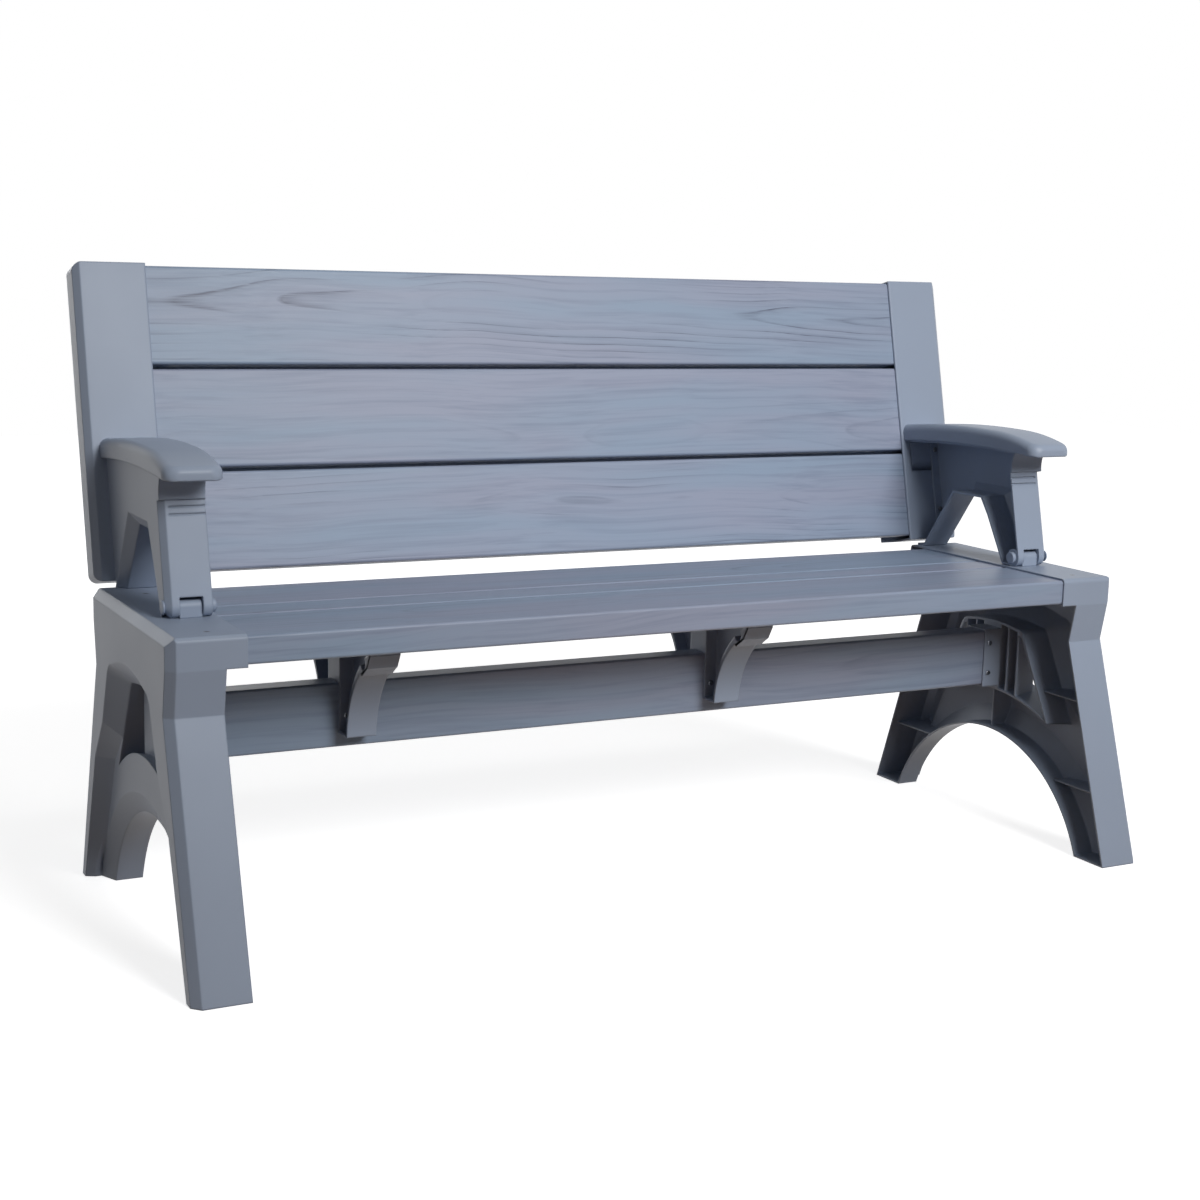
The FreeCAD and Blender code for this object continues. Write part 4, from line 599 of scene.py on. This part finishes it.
class BENCH_OT_soles(bpy.types.Operator):
    """Close the undersides of the brackets' tips, front and rear"""
    bl_idname = "bench.soles"
    bl_label = "Bracket soles"

    def execute(self, context):
        resin = bpy.data.materials["rounded moulded resin"]
        for name in BRACKETS:
            for end in BRACKET_ENDS:
                bracket_sole(name, end, context.scene.bench_soles, resin)
        return {"FINISHED"}


class BENCH_OT_pads(bpy.types.Operator):
    """Shape the arm pads with their short rounded nose"""
    bl_idname = "bench.pads"
    bl_label = "Arm pads"

    def execute(self, context):
        resin = bpy.data.materials["rounded moulded resin"]
        for name in PADS:
            shaped_pad(name, context.scene.bench_pads, resin)
        return {"FINISHED"}


def shape_head(mesh, top, settings, dome):
    """Domes a flat screw head and sinks a cross recess into it."""
    middle = top.calc_center_median()
    normal = top.normal.copy()
    for width, rise in DOME_RINGS:
        bmesh.ops.inset_region(mesh, faces=[top], thickness=width * MM)
        bmesh.ops.translate(mesh, verts=top.verts[:], vec=normal * dome * rise)
    bmesh.ops.inset_region(mesh, faces=[top], thickness=RECESS_RIM)
    side = normal.orthogonal().normalized()
    up = normal.cross(side)
    for vert in top.verts:
        arm = vert.co - middle
        angle = math.atan2(arm.dot(up), arm.dot(side)) % (math.pi / 2)
        in_arm = min(angle, math.pi / 2 - angle) < settings.recess_arm / 2
        flat = arm - normal * arm.dot(normal)
        # Between its arms the cross reaches a third as far
        reach = settings.recess if in_arm else settings.recess / 3
        vert.co += flat.normalized() * (reach - flat.length)
    bmesh.ops.inset_region(mesh, faces=[top], thickness=RECESS_WALL)
    bmesh.ops.translate(mesh, verts=top.verts[:], vec=-normal * settings.recess_depth)


def shaped_screws(name, settings, material):
    """A copy of a group of CAD screws with finished heads."""
    mesh = bmesh.new()
    mesh.from_mesh(frame["nodes"][name].data)
    bmesh.ops.remove_doubles(mesh, verts=mesh.verts, dist=SAME_PLACE)
    bmesh.ops.dissolve_limit(mesh, angle_limit=math.radians(1), verts=mesh.verts,
                             edges=mesh.edges)
    area = math.pi * settings.head_radius ** 2
    tops = [face for face in mesh.faces
            if len(face.verts) > HEAD_CORNERS
            and abs(face.calc_area() / area - 1) < HEAD_TOLERANCE]
    if not tops:
        raise ValueError(f"{name} has no screw heads")
    dome = 0 if name == FLAT_SCREWS else settings.dome
    for top in tops:
        shape_head(mesh, top, settings, dome)
    put_in_place(mesh, name, material)


class BENCH_OT_screws(bpy.types.Operator):
    """Shape the heads of all screws and bolts"""
    bl_idname = "bench.screws"
    bl_label = "Screws"

    def execute(self, context):
        settings = context.scene.bench_screws
        zinc = plated_steel("zinc plated steel", settings)
        for name in sorted(frame["nodes"]):
            if slot_of(name) == "zinc_steel" and name not in HINGE_PINS:
                dress(name, zinc)
                shaped_screws(name, settings, zinc)
        return {"FINISHED"}


def add_lamp(name, place, target, power, settings):
    """A round soft lamp that points at its target."""
    lamp = bpy.data.lights.new(name, "AREA")
    lamp.shape = "DISK"
    lamp.size = settings.lamp_size
    lamp.energy = power
    lamp.spread = settings.lamp_spread
    holder = bpy.data.objects.new(name, lamp)
    holder.location = place
    holder.rotation_euler = (Vector(target) - Vector(place)).to_track_quat("-Z", "Y").to_euler()
    bpy.context.scene.collection.objects.link(holder)


def background_ray(tree):
    """1 for what the camera, a reflection or a clear piece shows, 0 for light on the bench."""
    path = add_node(tree, "ShaderNodeLightPath")
    shown = add_node(tree, "ShaderNodeMath", {
        0: path.outputs["Is Camera Ray"], 1: path.outputs["Is Glossy Ray"]},
        operation="MAXIMUM")
    return add_node(tree, "ShaderNodeMath", {
        0: shown.outputs[0], 1: path.outputs["Is Transmission Ray"]},
        operation="MAXIMUM").outputs[0]


def pale_floor(settings):
    """Matt studio floor: near white to look at, and a brown grey in the light that it gives."""
    material, tree = new_material("pale floor")
    seen = background_ray(tree)
    colour = add_node(tree, "ShaderNodeMix", {
        0: seen, 6: settings.floor_bounce, 7: settings.floor}, data_type="RGBA")
    paint = add_node(tree, "ShaderNodeBsdfDiffuse", {"Color": colour.outputs[2]})
    place = add_node(tree, "ShaderNodeTexCoord")
    away = add_node(tree, "ShaderNodeVectorMath", {
        0: place.outputs["Object"]}, operation="LENGTH")
    lift = add_node(tree, "ShaderNodeMapRange", {
        "Value": away.outputs["Value"], "From Min": settings.floor_near,
        "From Max": settings.floor_fade, "To Min": settings.floor_glow, "To Max": 1.0})
    glow = add_node(tree, "ShaderNodeMath", {
        0: seen, 1: lift.outputs[0]}, operation="MULTIPLY")
    light = add_node(tree, "ShaderNodeEmission", {"Strength": glow.outputs[0]})
    surface(tree, add_node(tree, "ShaderNodeAddShader", {
        0: paint.outputs[0], 1: light.outputs[0]}))
    return material


def studio_floor(settings):
    """The square floor just below the feet."""
    mesh = bmesh.new()
    bmesh.ops.create_grid(mesh, x_segments=1, y_segments=1, size=settings.floor_size / 2)
    data = bpy.data.meshes.new("studio_floor")
    mesh.to_mesh(data)
    mesh.free()
    data.materials.append(pale_floor(settings))
    floor = bpy.data.objects.new("studio_floor", data)
    floor.location.z = -settings.floor_drop
    bpy.context.scene.collection.objects.link(floor)


def even_sky(settings):
    """A world of even light, which looks white behind the bench."""
    world = bpy.data.worlds.new("even sky")
    world.use_nodes = True
    tree = world.node_tree
    tree.nodes.clear()
    strength = add_node(tree, "ShaderNodeMapRange", {
        "Value": background_ray(tree), "To Min": settings.sky, "To Max": 1.0})
    sky = add_node(tree, "ShaderNodeBackground", {
        "Color": (1, 1, 1, 1), "Strength": strength.outputs[0]})
    add_node(tree, "ShaderNodeOutputWorld", {"Surface": sky.outputs[0]})
    bpy.context.scene.world = world


def photo_camera(settings):
    """The camera at the angle of the photograph."""
    lens = bpy.data.cameras.new("camera")
    lens.lens = settings.lens
    lens.sensor_width = SENSOR_WIDTH
    lens.clip_end = VIEW_END
    camera = bpy.data.objects.new("camera", lens)
    camera.location = settings.camera_place
    camera.rotation_euler = settings.camera_turn
    bpy.context.scene.collection.objects.link(camera)
    bpy.context.scene.camera = camera


class BENCH_OT_stage(bpy.types.Operator):
    """Set the floor, the soft lamps, the even sky and the camera"""
    bl_idname = "bench.stage"
    bl_label = "Stage"

    def execute(self, context):
        settings = context.scene.bench_stage
        studio_floor(settings)
        add_lamp("key_lamp", settings.key_place, settings.key_target, settings.key_power,
                 settings)
        add_lamp("rear_lamp", settings.rear_place, settings.rear_target, settings.rear_power,
                 settings)
        even_sky(settings)
        context.scene.view_settings.view_transform = "Standard"
        photo_camera(settings)
        return {"FINISHED"}


class BENCH_PT_panel(bpy.types.Panel):
    """Lists the steps that dress the bench"""
    bl_idname = "BENCH_PT_panel"
    bl_label = "Bench"
    bl_space_type = "VIEW_3D"
    bl_region_type = "UI"
    bl_category = "Bench"

    def draw(self, context):
        for step in STEPS:
            self.layout.operator(step.bl_idname)


SETTINGS = {
    "bench_boards": BoardSettings,
    "bench_seams": SeamSettings,
    "bench_mouldings": MouldedSettings,
    "bench_pads": PadSettings,
    "bench_soles": SoleSettings,
    "bench_screws": ScrewSettings,
    "bench_stage": StageSettings,
}
STEPS = (BENCH_OT_boards, BENCH_OT_seams, BENCH_OT_mouldings, BENCH_OT_pads,
         BENCH_OT_soles, BENCH_OT_screws, BENCH_OT_stage)
CLASSES = (*SETTINGS.values(), *STEPS, BENCH_PT_panel)


def register():
    for item in CLASSES:
        bpy.utils.register_class(item)
    for name, group in SETTINGS.items():
        setattr(bpy.types.Scene, name, bpy.props.PointerProperty(type=group))


def unregister():
    for name in SETTINGS:
        delattr(bpy.types.Scene, name)
    for item in reversed(CLASSES):
        bpy.utils.unregister_class(item)


def main():
    register()
    for step in STEPS:
        area, name = step.bl_idname.split(".")
        getattr(getattr(bpy.ops, area), name)()


if __name__ == "__main__":
    main()
